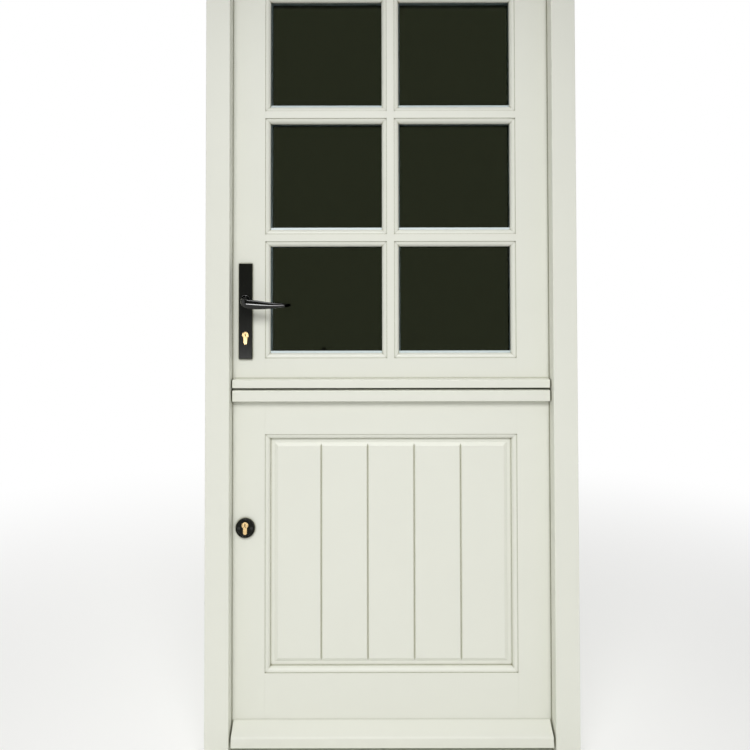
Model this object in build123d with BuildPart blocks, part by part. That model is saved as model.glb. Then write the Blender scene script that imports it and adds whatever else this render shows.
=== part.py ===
from build123d import *
from math import cos, pi, sin
import os

# A timber stable door in its frame: two leaves, one above the other, that swing inward on one jamb.
# X runs to the right seen from outside, Y runs inward from the frame's outer face, Z runs up from
# the underside of the sill. All lengths are millimetres.

# Frame
FRAME_WIDTH = 956.0
FRAME_HEIGHT = 2162.0
FRAME_FACE = 62.0
STOP_DEPTH = 38.0
REBATE_STEP = 13.0
FRAME_ARRIS = 2.0
FRAME_TENON_LENGTH = 34.0
FRAME_TENON_INSET = 7.0
FIXING_HOLE_RADIUS = 4.0
FIXING_CAP_RADIUS = 8.0
FIXING_CAP_DEPTH = 12.0
FIXING_HEIGHTS = (300.0, 720.0, 1580.0, 1880.0)

# Sill and threshold
SILL_HEIGHT = 45.0
SILL_PROJECTION = 55.0
SILL_FALL = 15.0
SILL_NOSE_RADIUS = 5.0
THROAT_RADIUS = 3.0
THROAT_INSET = 12.0
THRESHOLD_HEIGHT = 12.0
THRESHOLD_WIDTH = 48.0
THRESHOLD_RAMP = 13.0
THRESHOLD_WALL = 2.4
THRESHOLD_END_GAP = 0.3

# Leaves
LEAF_THICKNESS = 56.0
LEAF_GAP = 3.0
SEAL_GAP = 4.0
SILL_GAP = 6.0
MEETING_HEIGHT = 973.0
MEETING_GAP = 3.5
STILE_WIDTH = 95.5
TOP_RAIL_WIDTH = 96.0
UPPER_MEETING_RAIL_WIDTH = 76.0
LOWER_MEETING_RAIL_WIDTH = 119.5
BOTTOM_RAIL_WIDTH = 171.0
BAR_FACE = 19.0
TENON_THICKNESS = 18.0
RAIL_TENON_LENGTH = 56.0
RAIL_TENON_INSET = 14.0
BAR_TENON_LENGTH = 20.0
LEAF_ARRIS = 1.2

# Ovolo moulding worked on the inner edges
QUIRK_WIDTH = 1.3
QUIRK_DEPTH = 2.0
OVOLO_RADIUS = 11.7
OVOLO_FILLET = 1.3

# Glazing
GLASS_THICKNESS = 4.0
GLASS_CAVITY = 16.0
GLASS_EDGE_GAP = 3.0
SPACER_INSET = 1.0
SPACER_WIDTH = 9.5
BEAD_CHAMFER = 6.0
BEAD_MITRE_GAP = 0.2

# Raised and fielded panel
PANEL_EDGE_GAP = 1.5
PANEL_MARGIN = 11.0
PANEL_BEVEL = 9.0
PANEL_RISE = 5.0
GROOVE_PITCH = 122.5
GROOVE_COUNT = 4
GROOVE_WIDTH = 7.0
GROOVE_DEPTH = 3.5

# Planted bars and weatherboard
BAR_END_GAP = 3.0
MEETING_BAR_PROJECTION = 20.0
DRIP_BAR_HEIGHT = 23.5
SHELF_BAR_HEIGHT = 31.0
SHELF_BAR_DROP = 0.5
BAR_TOP_FALL = 3.0
BAR_ARRIS = 2.0
WEATHERBOARD_END_GAP = 5.0
WEATHERBOARD_PROJECTION = 38.0
WEATHERBOARD_RISE = 3.0
WEATHERBOARD_HEIGHT = 50.0
WEATHERBOARD_NOSE = 25.0
WEATHERBOARD_NOSE_RADIUS = 6.0

# Seals
SEAL_WIDTH = 7.0
SEAL_OFFSET = 1.0
SEAL_STEM_WIDTH = 2.4
SEAL_STEM_DEPTH = 6.0
SEAL_CLEARANCE = 0.3

# Hinges
HINGE_END_INSET = 120.0
HINGE_HEIGHT = 100.0
HINGE_WIDTH = 35.0
HINGE_PLATE = 2.5
KNUCKLE_RADIUS = 6.5
KNUCKLE_STANDOFF = 0.5
KNUCKLE_GAP = 0.3
PIN_RADIUS = 3.2
PIN_CLEARANCE = 0.05
PIN_HEAD_RADIUS = 5.5
PIN_HEAD_HEIGHT = 2.5
HINGE_SCREW_PITCH = 25.0
HINGE_SCREW_COUNT = 4
HINGE_SCREW_INSETS = (23.0, 11.0)

# Countersunk wood screws
SCREW_HEAD_RADIUS = 3.8
SCREW_HEAD_DEPTH = 2.0
SCREW_RADIUS = 1.9
SCREW_LENGTH = 28.0
SHORT_SCREW_LENGTH = 16.0
SCREW_SLOT = 0.9

# Locks
BACKSET = 45.0
LEVER_ABOVE_MEETING = 233.0
LEVER_TO_CYLINDER = 92.0
LOWER_CYLINDER_HEIGHT = 619.0
FACEPLATE_WIDTH = 20.0
FACEPLATE_THICKNESS = 3.0
FACEPLATE_END_INSET = 36.0
LOWER_FACEPLATE_MARGIN = 18.0
FACEPLATE_SCREW_INSET = 9.0
CASE_THICKNESS = 16.0
CASE_WALL = 2.0
CASE_DEPTH = 68.0
CASE_ABOVE = 44.0
CASE_BELOW = 38.0
BOLT_CLEARANCE = 0.3
BOLT_THROW = 20.0
BOLT_LENGTH = 27.5
BOLT_HEIGHT = 34.0
LATCH_THROW = 12.0
LATCH_LENGTH = 36.0
LATCH_HEIGHT = 26.0
LATCH_TIP = 3.0
KEEP_THICKNESS = 3.0
KEEP_MARGIN = 14.0
KEEP_FRONT_INSET = 14.0
APERTURE_CLEARANCE = 1.0
POCKET_CLEARANCE = 3.0

# Hook bolts
HOOK_RISES = (194.0, 554.0)
HOOK_PIVOT_INSET = 15.0
HOOK_THICKNESS = 8.0
HOOK_ARM_WIDTH = 12.0
HOOK_ARM_LENGTH = 28.0
HOOK_BEAK_LENGTH = 8.0
HOOK_BEAK_HEIGHT = 10.0
HOOK_BEAK_TAPER = 1.0
HOOK_EYE_RADIUS = 9.0
HOOK_PIN_RADIUS = 3.0
HOOK_CASE_DEPTH = 32.0
HOOK_SWING_CLEARANCE = 2.0

# Euro-profile cylinders
CYLINDER_RADIUS = 8.5
CYLINDER_DROP = 24.5
CYLINDER_WEB = 10.0
CYLINDER_PROUD = 1.0
CYLINDER_CLEARANCE = 0.3
CYLINDER_HOLE_CLEARANCE = 1.5
PLUG_RADIUS = 6.5
PLUG_CLEARANCE = 0.05
PLUG_INSET = 0.4
CAM_REACH = 15.3
CAM_WIDTH = 7.0
CAM_THICKNESS = 9.0
CAM_CLEARANCE = 0.6
KEYWAY_WIDTH = 2.0
KEYWAY_HEIGHT = 8.0
KEYWAY_DEPTH = 18.0

# Lever furniture
PLATE_WIDTH = 35.0
PLATE_HEIGHT = 250.0
PLATE_THICKNESS = 8.0
PLATE_DROP = 29.5
PLATE_ARRIS = 1.0
PLATE_BOLT_SPACING = 216.0
PLATE_BOLT_RADIUS = 2.5
PLATE_BOLT_HEAD_RADIUS = 4.5
SPINDLE_WIDTH = 8.0
SPINDLE_HOLE_RADIUS = 6.4
SPINDLE_BORE_RADIUS = 13.0
SPINDLE_SOCKET = 18.0
COLLAR_RADIUS = 13.5
COLLAR_THICKNESS = 7.0
COLLAR_CLEARANCE = 0.3
COLLAR_ARRIS = 1.5
LEVER_STANDOFF = 50.0
NECK_RADIUS = 8.0
LEVER_STATIONS = (
    # along the arm, towards the leaf, up, half thickness, half height
    (0.0, 0.0, 0.0, 7.4, 7.6),
    (16.0, -1.0, -2.6, 6.6, 10.4),
    (34.0, -1.0, -4.4, 6.2, 11.6),
    (62.0, 1.0, -4.9, 5.8, 9.6),
    (92.0, 4.5, -4.6, 5.0, 7.2),
    (108.0, 7.5, -4.3, 3.6, 5.0),
)
LEVER_TIP_ROUND = 2.5

# Escutcheons of the lower lock
ESCUTCHEON_RADIUS = 25.0
ESCUTCHEON_THICKNESS = 8.0
ESCUTCHEON_RIM = 3.0
ESCUTCHEON_DISH = 2.0
ESCUTCHEON_DROP = 8.0
ESCUTCHEON_SCREW_OFFSET = 16.5
ESCUTCHEON_ARRIS = 1.2

# Bolt that joins the two leaves, on the inside
JOIN_BOLT_X = -180.0
JOIN_PLATE_WIDTH = 34.0
JOIN_PLATE_THICKNESS = 3.0
JOIN_PLATE_MARGIN = 5.0
JOIN_ROD_RADIUS = 5.0
JOIN_ROD_STANDOFF = 8.0
JOIN_ROD_CLEARANCE = 0.08
JOIN_ROD_LENGTH = 96.0
JOIN_ROD_TRAVEL = 30.0
JOIN_GUIDE_RADIUS = 8.0
JOIN_GUIDE_HEIGHT = 9.0
JOIN_KNOB_RADIUS = 4.5
JOIN_KNOB_LENGTH = 18.0
JOIN_KNOB_CLEARANCE = 1.0
JOIN_ROD_CHAMFER = 1.0
JOIN_KEEP_HEIGHT = 22.0
JOIN_KEEP_DROP = 12.0
JOIN_SCREW_OFFSET = 12.0

# Places that follow from the sizes above
LEAF_FRONT = STOP_DEPTH + SEAL_GAP
LEAF_BACK = LEAF_FRONT + LEAF_THICKNESS
LEAF_MIDDLE = (LEAF_FRONT + LEAF_BACK) / 2
LEAF_SPAN = (LEAF_FRONT, LEAF_BACK)
FRAME_HALF = FRAME_WIDTH / 2
STOP_HALF = FRAME_HALF - FRAME_FACE
REBATE_HALF = STOP_HALF + REBATE_STEP
LEAF_HALF = REBATE_HALF - LEAF_GAP
STILE_EDGE = LEAF_HALF - STILE_WIDTH
HEAD_LINE = FRAME_HEIGHT - FRAME_FACE
LEAF_TOP = HEAD_LINE + REBATE_STEP - LEAF_GAP
THRESHOLD_TOP = SILL_HEIGHT + THRESHOLD_HEIGHT
LEAF_BOTTOM = THRESHOLD_TOP + SILL_GAP
UPPER_BOTTOM = MEETING_HEIGHT + MEETING_GAP
GLAZING_LOW = UPPER_BOTTOM + UPPER_MEETING_RAIL_WIDTH
GLAZING_HIGH = LEAF_TOP - TOP_RAIL_WIDTH
PANEL_LOW = LEAF_BOTTOM + BOTTOM_RAIL_WIDTH
PANEL_HIGH = MEETING_HEIGHT - LOWER_MEETING_RAIL_WIDTH
LIP_WIDTH = QUIRK_WIDTH + OVOLO_RADIUS
LIP_DEPTH = QUIRK_DEPTH + OVOLO_RADIUS + OVOLO_FILLET
TENON_SPAN = (LEAF_MIDDLE - TENON_THICKNESS / 2, LEAF_MIDDLE + TENON_THICKNESS / 2)
ROW_HEIGHT = (GLAZING_HIGH - GLAZING_LOW - 2 * BAR_FACE) / 3
ROWS = [
    (GLAZING_LOW + i * (ROW_HEIGHT + BAR_FACE), GLAZING_LOW + i * (ROW_HEIGHT + BAR_FACE) + ROW_HEIGHT)
    for i in range(3)
]
COLUMNS = [(-STILE_EDGE, -BAR_FACE / 2), (BAR_FACE / 2, STILE_EDGE)]
CROSSINGS = [(ROWS[0][1], ROWS[1][0]), (ROWS[1][1], ROWS[2][0])]
PIN_X = REBATE_HALF - LEAF_GAP / 2
PIN_Y = LEAF_BACK + KNUCKLE_STANDOFF + KNUCKLE_RADIUS
LOCK_X = -(LEAF_HALF - BACKSET)
LEVER_HEIGHT = MEETING_HEIGHT + LEVER_ABOVE_MEETING
CYLINDER_HEIGHT = LEVER_HEIGHT - LEVER_TO_CYLINDER
PLATE_CENTRE_HEIGHT = LEVER_HEIGHT - PLATE_DROP
HOOK_HEIGHTS = [LEVER_HEIGHT + rise for rise in HOOK_RISES]
HOOK_REACH = (HOOK_ARM_LENGTH**2 + (HOOK_ARM_WIDTH / 2 + HOOK_BEAK_LENGTH) ** 2) ** 0.5
LOWER_HINGE_HEIGHTS = [LEAF_BOTTOM + HINGE_END_INSET, MEETING_HEIGHT - HINGE_END_INSET]
UPPER_HINGE_HEIGHTS = [UPPER_BOTTOM + HINGE_END_INSET, LEAF_TOP - HINGE_END_INSET]
CASE_FRONT = -LEAF_HALF + FACEPLATE_THICKNESS
CASE_SPAN = (LEAF_MIDDLE - CASE_THICKNESS / 2, LEAF_MIDDLE + CASE_THICKNESS / 2)
CAVITY_SPAN = (CASE_SPAN[0] + CASE_WALL, CASE_SPAN[1] - CASE_WALL)
BOLT_SPAN = (CAVITY_SPAN[0] + BOLT_CLEARANCE, CAVITY_SPAN[1] - BOLT_CLEARANCE)
KEEP_FACE = -REBATE_HALF
UPPER_CASE_SPAN = (CYLINDER_HEIGHT - CASE_BELOW, LEVER_HEIGHT + CASE_ABOVE)
LOWER_CASE_SPAN = (LOWER_CYLINDER_HEIGHT - CASE_BELOW, LOWER_CYLINDER_HEIGHT + CASE_ABOVE)
HOOK_CASE_SPANS = [
    (height - HOOK_EYE_RADIUS - 2 * CASE_WALL, height + HOOK_REACH + 2 * CASE_WALL) for height in HOOK_HEIGHTS
]
UPPER_CASES = [(UPPER_CASE_SPAN, CASE_DEPTH)] + [(span, HOOK_CASE_DEPTH) for span in HOOK_CASE_SPANS]
LOWER_CASES = [(LOWER_CASE_SPAN, CASE_DEPTH)]
UPPER_FACEPLATE_SPAN = (UPPER_BOTTOM + FACEPLATE_END_INSET, HOOK_CASE_SPANS[1][1] + FACEPLATE_END_INSET)
LOWER_FACEPLATE_SPAN = (
    LOWER_CASE_SPAN[0] - LOWER_FACEPLATE_MARGIN,
    LOWER_CASE_SPAN[1] + LOWER_FACEPLATE_MARGIN,
)
SEAL_CENTRE = STOP_HALF + SEAL_OFFSET + SEAL_WIDTH / 2
JOIN_ROD_Y = LEAF_BACK + JOIN_PLATE_THICKNESS + JOIN_ROD_STANDOFF

os.makedirs("parts", exist_ok=True)


def finish(builder, name):
    """Names a finished piece and writes it."""
    builder.part.label = name
    export_step(builder.part, f"parts/{name}.step")


def block(x, y, z, mode=Mode.ADD):
    """A rectangular block given by its span along each axis, in the piece being built."""
    with Locations(tuple((span[0] + span[1]) / 2 for span in (x, y, z))):
        Box(abs(x[1] - x[0]), abs(y[1] - y[0]), abs(z[1] - z[0]), mode=mode)


def round_bar(radius, start, end, mode=Mode.ADD):
    """A round bar from one point to another, in the piece being built."""
    run = Vector(*end) - Vector(*start)
    with Locations(Plane(origin=start, z_dir=run)):
        Cylinder(radius, run.length, align=(Align.CENTER, Align.CENTER, Align.MIN), mode=mode)


def across_leaf(x, y, z):
    """A plane that faces outward, for sections that run through the leaf."""
    return Plane(origin=(x, y, z), x_dir=(1, 0, 0), z_dir=(0, -1, 0))


# Joinery sections


def ovolo(edge, side, upright, room_side=False):
    """Section of the moulding on the edge of a stile, rail or bar: a quirk, a quarter round, a fillet."""
    face, inward = (LEAF_BACK, -1) if room_side else (LEAF_FRONT, 1)

    def at(out, deep):
        across, through = edge + side * out, face + inward * deep
        return (across, through) if upright else (through, across)

    round_end = at(LIP_WIDTH, QUIRK_DEPTH + OVOLO_RADIUS)
    round_middle = at(
        QUIRK_WIDTH + OVOLO_RADIUS * sin(pi / 4), QUIRK_DEPTH + OVOLO_RADIUS * (1 - cos(pi / 4))
    )
    round_start = at(QUIRK_WIDTH, QUIRK_DEPTH)
    with BuildSketch() as section:
        with BuildLine():
            Polyline(
                round_start, at(0, QUIRK_DEPTH), at(0, LIP_DEPTH), at(LIP_WIDTH, LIP_DEPTH), round_end
            )
            ThreePointArc(round_end, round_middle, round_start)
        make_face()
    return section.sketch


def upright_lip(edge, side, span, room_side=False):
    """An upright run of the moulding."""
    section = ovolo(edge, side, True, room_side)
    with BuildPart() as lip:
        with BuildSketch(Plane.XY.offset(span[0])):
            add(section)
        extrude(amount=span[1] - span[0])
    return lip.part


def coped_lip(edge, side, span, room_side=False):
    """A level run of the moulding, scribed over the upright mouldings that it meets at its ends."""
    section = ovolo(edge, side, False, room_side)
    height = sorted((edge, edge + side * LIP_WIDTH))
    ends = [upright_lip(end, inward, height, room_side) for end, inward in zip(span, (1, -1))]
    with BuildPart() as lip:
        with BuildSketch(Plane.YZ.offset(span[0])):
            add(section)
        extrude(amount=span[1] - span[0])
        add(ends, mode=Mode.SUBTRACT)
    return lip.part


def rail_tenons(rail_span):
    """Spans of the two tenons of a rail: along X, through the leaf and in height."""
    height = (rail_span[0] + RAIL_TENON_INSET, rail_span[1] - RAIL_TENON_INSET)
    return [
        (sorted((side * STILE_EDGE, side * (STILE_EDGE + RAIL_TENON_LENGTH))), TENON_SPAN, height)
        for side in (-1, 1)
    ]


def bar_tenons(crossing):
    """Spans of the two tenons of a level glazing bar."""
    return [
        (sorted((side * STILE_EDGE, side * (STILE_EDGE + BAR_TENON_LENGTH))), TENON_SPAN, crossing)
        for side in (-1, 1)
    ]


TOP_RAIL_SPAN = (GLAZING_HIGH, LEAF_TOP)
UPPER_MEETING_SPAN = (UPPER_BOTTOM, GLAZING_LOW)
LOWER_MEETING_SPAN = (PANEL_HIGH, MEETING_HEIGHT)
BOTTOM_RAIL_SPAN = (LEAF_BOTTOM, PANEL_LOW)
UPPER_TENONS = rail_tenons(TOP_RAIL_SPAN) + rail_tenons(UPPER_MEETING_SPAN)
UPPER_TENONS += [tenon for crossing in CROSSINGS for tenon in bar_tenons(crossing)]
LOWER_TENONS = rail_tenons(LOWER_MEETING_SPAN) + rail_tenons(BOTTOM_RAIL_SPAN)
UPRIGHT_BAR_TENONS = [
    ((-BAR_FACE / 2, BAR_FACE / 2), TENON_SPAN, (GLAZING_LOW - BAR_TENON_LENGTH, GLAZING_LOW)),
    ((-BAR_FACE / 2, BAR_FACE / 2), TENON_SPAN, (GLAZING_HIGH, GLAZING_HIGH + BAR_TENON_LENGTH)),
]

# Fasteners


def wood_screw(length):
    """A countersunk wood screw whose head lies in the plane Z = 0, pointing down."""
    with BuildPart() as screw:
        with BuildSketch(Plane.XZ):
            with BuildLine():
                Polyline(
                    (0, 0),
                    (SCREW_HEAD_RADIUS, 0),
                    (SCREW_RADIUS, -SCREW_HEAD_DEPTH),
                    (SCREW_RADIUS, -length + SCREW_RADIUS),
                    (0, -length),
                    close=True,
                )
            make_face()
        revolve(axis=Axis.Z)
    return screw.part


def slotted(screw_blank):
    """A screw with the slot for its driver."""
    with BuildPart() as screw:
        add(screw_blank)
        Box(2 * SCREW_HEAD_RADIUS, SCREW_SLOT, SCREW_SLOT, mode=Mode.SUBTRACT)
    return screw.part


SCREW_HOLE = wood_screw(SCREW_LENGTH)
SHORT_SCREW_HOLE = wood_screw(SHORT_SCREW_LENGTH)
SCREW = slotted(SCREW_HOLE)
SHORT_SCREW = slotted(SHORT_SCREW_HOLE)
HINGE_SCREW_PLACES = [(i - (HINGE_SCREW_COUNT - 1) / 2) * HINGE_SCREW_PITCH for i in range(HINGE_SCREW_COUNT)]


def hinge_screw_sites(heights, x, outward):
    """Planes on the heads of the screws of one column of hinge plates, staggered in two lines."""
    return [
        Plane(
            origin=(x, LEAF_BACK - HINGE_SCREW_INSETS[i % 2], height + place),
            z_dir=(outward, 0, 0),
        )
        for height in heights
        for i, place in enumerate(HINGE_SCREW_PLACES)
    ]


def edge_screw_sites(heights, x, outward):
    """Planes on the heads of screws in faceplates and keeps."""
    return [Plane(origin=(x, LEAF_MIDDLE, height), z_dir=(outward, 0, 0)) for height in heights]


def inset_span(span, inset):
    """A span made shorter by the same amount at both ends."""
    return (span[0] + inset, span[1] - inset)


FACEPLATE_MIDDLE_SCREWS = [
    (UPPER_CASE_SPAN[1] + HOOK_CASE_SPANS[0][0]) / 2,
    (HOOK_CASE_SPANS[0][1] + HOOK_CASE_SPANS[1][0]) / 2,
]
UPPER_LOCK_SCREWS = edge_screw_sites(
    [*inset_span(UPPER_FACEPLATE_SPAN, FACEPLATE_SCREW_INSET), *FACEPLATE_MIDDLE_SCREWS], -LEAF_HALF, -1
)
LOWER_LOCK_SCREWS = edge_screw_sites(
    inset_span(LOWER_FACEPLATE_SPAN, FACEPLATE_SCREW_INSET), -LEAF_HALF, -1
)
UPPER_HINGE_SCREWS = hinge_screw_sites(UPPER_HINGE_HEIGHTS, LEAF_HALF, 1)
LOWER_HINGE_SCREWS = hinge_screw_sites(LOWER_HINGE_HEIGHTS, LEAF_HALF, 1)
FRAME_HINGE_SCREWS = hinge_screw_sites(LOWER_HINGE_HEIGHTS + UPPER_HINGE_HEIGHTS, REBATE_HALF, -1)

ESCUTCHEON_CENTRE_HEIGHT = LOWER_CYLINDER_HEIGHT - ESCUTCHEON_DROP
OUTER_ESCUTCHEON_FACE = LEAF_FRONT - ESCUTCHEON_THICKNESS
ESCUTCHEON_SCREWS = [
    Plane(
        origin=(
            LOCK_X + side * ESCUTCHEON_SCREW_OFFSET,
            OUTER_ESCUTCHEON_FACE + ESCUTCHEON_DISH,
            ESCUTCHEON_CENTRE_HEIGHT,
        ),
        z_dir=(0, -1, 0),
    )
    for side in (-1, 1)
]

JOIN_GUIDE_SPAN = inset_span(UPPER_MEETING_SPAN, JOIN_PLATE_MARGIN)
JOIN_GUIDES = [
    (JOIN_GUIDE_SPAN[0], JOIN_GUIDE_SPAN[0] + JOIN_GUIDE_HEIGHT),
    (JOIN_GUIDE_SPAN[1] - JOIN_GUIDE_HEIGHT, JOIN_GUIDE_SPAN[1]),
]
JOIN_ROD_LOW = JOIN_GUIDE_SPAN[0]
JOIN_KEEP_SPAN = (MEETING_HEIGHT - JOIN_KEEP_DROP - JOIN_KEEP_HEIGHT, MEETING_HEIGHT - JOIN_KEEP_DROP)
JOIN_KNOB_HEIGHT = JOIN_GUIDES[1][0] - JOIN_KNOB_RADIUS - JOIN_KNOB_CLEARANCE


def join_screw_sites(span):
    """Screws at the sides of a bolt plate."""
    return [
        Plane(
            origin=(JOIN_BOLT_X + side * JOIN_SCREW_OFFSET, LEAF_BACK + JOIN_PLATE_THICKNESS, sum(span) / 2),
            z_dir=(0, 1, 0),
        )
        for side in (-1, 1)
    ]


JOIN_PLATE_SCREWS = join_screw_sites(JOIN_GUIDE_SPAN)
JOIN_KEEP_SCREWS = join_screw_sites(JOIN_KEEP_SPAN)

# Keeps: each is a plate let into the rebate of the lock jamb, with an aperture for each bolt


def grown(span, amount):
    """A span made longer by the same amount at both ends."""
    return (span[0] - amount, span[1] + amount)


def about(centre, length):
    """The span of a length centred on a place."""
    return (centre - length / 2, centre + length / 2)


HOOK_SLOT = (-HOOK_ARM_WIDTH / 2 - HOOK_SWING_CLEARANCE, HOOK_REACH + HOOK_SWING_CLEARANCE)
LATCH_SPAN = about(LEVER_HEIGHT, LATCH_HEIGHT)
UPPER_BOLT_SPAN = about(CYLINDER_HEIGHT, BOLT_HEIGHT)
LOWER_BOLT_SPAN = about(LOWER_CYLINDER_HEIGHT, BOLT_HEIGHT)
HOOK_SPANS = [(height + HOOK_SLOT[0], height + HOOK_SLOT[1]) for height in HOOK_HEIGHTS]
UPPER_KEEP_SPAN = (UPPER_BOLT_SPAN[0] - KEEP_MARGIN, LATCH_SPAN[1] + KEEP_MARGIN)
LOWER_KEEP_SPAN = grown(LOWER_BOLT_SPAN, KEEP_MARGIN)
HOOK_KEEP_SPANS = [grown(span, KEEP_MARGIN) for span in HOOK_SPANS]
KEEP_SPANS = [UPPER_KEEP_SPAN, LOWER_KEEP_SPAN, *HOOK_KEEP_SPANS]
KEEP_DEPTH_SPAN = (STOP_DEPTH + KEEP_FRONT_INSET, LEAF_BACK)
KEEP_SCREW_INSET = KEEP_MARGIN / 2
KEEP_SCREWS = edge_screw_sites(
    [height for span in KEEP_SPANS for height in inset_span(span, KEEP_SCREW_INSET)], KEEP_FACE, 1
)
BOLT_APERTURES = [(span, BOLT_THROW) for span in (UPPER_BOLT_SPAN, LOWER_BOLT_SPAN)]
LATCH_APERTURE = [(LATCH_SPAN, LATCH_THROW)]
HOOK_APERTURES = [(span, HOOK_REACH - HOOK_PIVOT_INSET) for span in HOOK_SPANS]
APERTURES = BOLT_APERTURES + LATCH_APERTURE + HOOK_APERTURES

# Frame pieces

SILL_TENONS = [
    (
        sorted((side * (REBATE_HALF + FRAME_TENON_INSET), side * (FRAME_HALF - FRAME_TENON_INSET))),
        TENON_SPAN,
        (SILL_HEIGHT - FRAME_TENON_LENGTH, SILL_HEIGHT),
    )
    for side in (-1, 1)
]
HEAD_TENONS = [(x, y, (HEAD_LINE, HEAD_LINE + FRAME_TENON_LENGTH)) for x, y, z in SILL_TENONS]


def sill_section():
    """Outline of the sill: a flat seat, a slope to the nose, and a throat under it that sheds water."""
    with BuildSketch() as section:
        with BuildLine():
            Polyline(
                (LEAF_BACK, 0),
                (LEAF_BACK, SILL_HEIGHT),
                (STOP_DEPTH, SILL_HEIGHT),
                (-SILL_PROJECTION, SILL_HEIGHT - SILL_FALL),
                (-SILL_PROJECTION, 0),
                close=True,
            )
        make_face()
        with Locations((-SILL_PROJECTION + THROAT_INSET, 0)):
            Circle(THROAT_RADIUS, mode=Mode.SUBTRACT)
        nose = section.vertices().sort_by(Axis.X).group_by(Axis.X)[0].sort_by(Axis.Y)[-1]
        fillet(nose, SILL_NOSE_RADIUS)
    return section.sketch


SILL_SECTION = sill_section()

with BuildPart() as sill:
    with BuildSketch(Plane.YZ.offset(-FRAME_HALF)):
        add(SILL_SECTION)
    extrude(amount=FRAME_WIDTH)
    SILL_BLANK = sill.part
    for tenon in SILL_TENONS:
        block(*tenon, mode=Mode.SUBTRACT)
finish(sill, "sill")


def jamb(side):
    """A jamb: stop and rebate in one piece, scribed over the sill, tenoned top and bottom."""
    with BuildPart() as post:
        with BuildSketch(Plane.XY):
            with BuildLine():
                Polyline(
                    (side * FRAME_HALF, 0),
                    (side * STOP_HALF, 0),
                    (side * STOP_HALF, STOP_DEPTH),
                    (side * REBATE_HALF, STOP_DEPTH),
                    (side * REBATE_HALF, LEAF_BACK),
                    (side * FRAME_HALF, LEAF_BACK),
                    close=True,
                )
            make_face()
        extrude(amount=HEAD_LINE)
        front = post.edges().filter_by(Axis.Z).group_by(Axis.Y)[0]
        fillet(front, FRAME_ARRIS)
        add(SILL_BLANK, mode=Mode.SUBTRACT)
        for tenon in SILL_TENONS + HEAD_TENONS:
            if tenon[0][0] * side > 0:
                block(*tenon)
        block(
            about(side * SEAL_CENTRE, SEAL_STEM_WIDTH),
            (STOP_DEPTH - SEAL_STEM_DEPTH, STOP_DEPTH),
            (SILL_HEIGHT, HEAD_LINE),
            mode=Mode.SUBTRACT,
        )
        for height in FIXING_HEIGHTS:
            inner, outer = (side * REBATE_HALF, LEAF_MIDDLE, height), (side * FRAME_HALF, LEAF_MIDDLE, height)
            cap_floor = (side * (REBATE_HALF + FIXING_CAP_DEPTH), LEAF_MIDDLE, height)
            round_bar(FIXING_HOLE_RADIUS, inner, outer, mode=Mode.SUBTRACT)
            round_bar(FIXING_CAP_RADIUS, inner, cap_floor, mode=Mode.SUBTRACT)
    return post.part


with BuildPart() as jamb_lock:
    add(jamb(-1))
    for span in KEEP_SPANS:
        block((KEEP_FACE - KEEP_THICKNESS, KEEP_FACE), KEEP_DEPTH_SPAN, span, mode=Mode.SUBTRACT)
    for span, throw in APERTURES:
        block(
            (KEEP_FACE - throw - POCKET_CLEARANCE, KEEP_FACE),
            grown(BOLT_SPAN, APERTURE_CLEARANCE),
            grown(span, APERTURE_CLEARANCE),
            mode=Mode.SUBTRACT,
        )
    with Locations(*KEEP_SCREWS):
        add(SCREW_HOLE, mode=Mode.SUBTRACT)
finish(jamb_lock, "jamb_lock")

with BuildPart() as jamb_hinge:
    add(jamb(1))
    for height in LOWER_HINGE_HEIGHTS + UPPER_HINGE_HEIGHTS:
        block(
            (REBATE_HALF, REBATE_HALF + HINGE_PLATE),
            (LEAF_BACK - HINGE_WIDTH, LEAF_BACK),
            about(height, HINGE_HEIGHT),
            mode=Mode.SUBTRACT,
        )
    with Locations(*FRAME_HINGE_SCREWS):
        add(SCREW_HOLE, mode=Mode.SUBTRACT)
finish(jamb_hinge, "jamb_hinge")

with BuildPart() as head:
    block((-FRAME_HALF, FRAME_HALF), (0, LEAF_BACK), (HEAD_LINE, FRAME_HEIGHT))
    block(
        (-REBATE_HALF, REBATE_HALF),
        (STOP_DEPTH, LEAF_BACK),
        (HEAD_LINE, HEAD_LINE + REBATE_STEP),
        mode=Mode.SUBTRACT,
    )
    block(
        (-REBATE_HALF, REBATE_HALF),
        (STOP_DEPTH - SEAL_STEM_DEPTH, STOP_DEPTH),
        about(HEAD_LINE + SEAL_OFFSET + SEAL_WIDTH / 2, SEAL_STEM_WIDTH),
        mode=Mode.SUBTRACT,
    )
    for tenon in HEAD_TENONS:
        block(*tenon, mode=Mode.SUBTRACT)
finish(head, "head")

THRESHOLD_HALF = THRESHOLD_WIDTH / 2
THRESHOLD_OUTLINE = [
    # from the middle of the leaf, above the sill
    (-THRESHOLD_HALF, 0),
    (-THRESHOLD_HALF, THRESHOLD_WALL / 2),
    (-THRESHOLD_HALF + THRESHOLD_RAMP, THRESHOLD_HEIGHT),
    (THRESHOLD_HALF - THRESHOLD_RAMP, THRESHOLD_HEIGHT),
    (THRESHOLD_HALF, THRESHOLD_WALL / 2),
    (THRESHOLD_HALF, 0),
    (THRESHOLD_HALF - 2 * THRESHOLD_WALL, 0),
    (THRESHOLD_HALF - THRESHOLD_RAMP - THRESHOLD_WALL / 2, THRESHOLD_HEIGHT - THRESHOLD_WALL),
    (-THRESHOLD_HALF + THRESHOLD_RAMP + THRESHOLD_WALL / 2, THRESHOLD_HEIGHT - THRESHOLD_WALL),
    (-THRESHOLD_HALF + 2 * THRESHOLD_WALL, 0),
]

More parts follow.
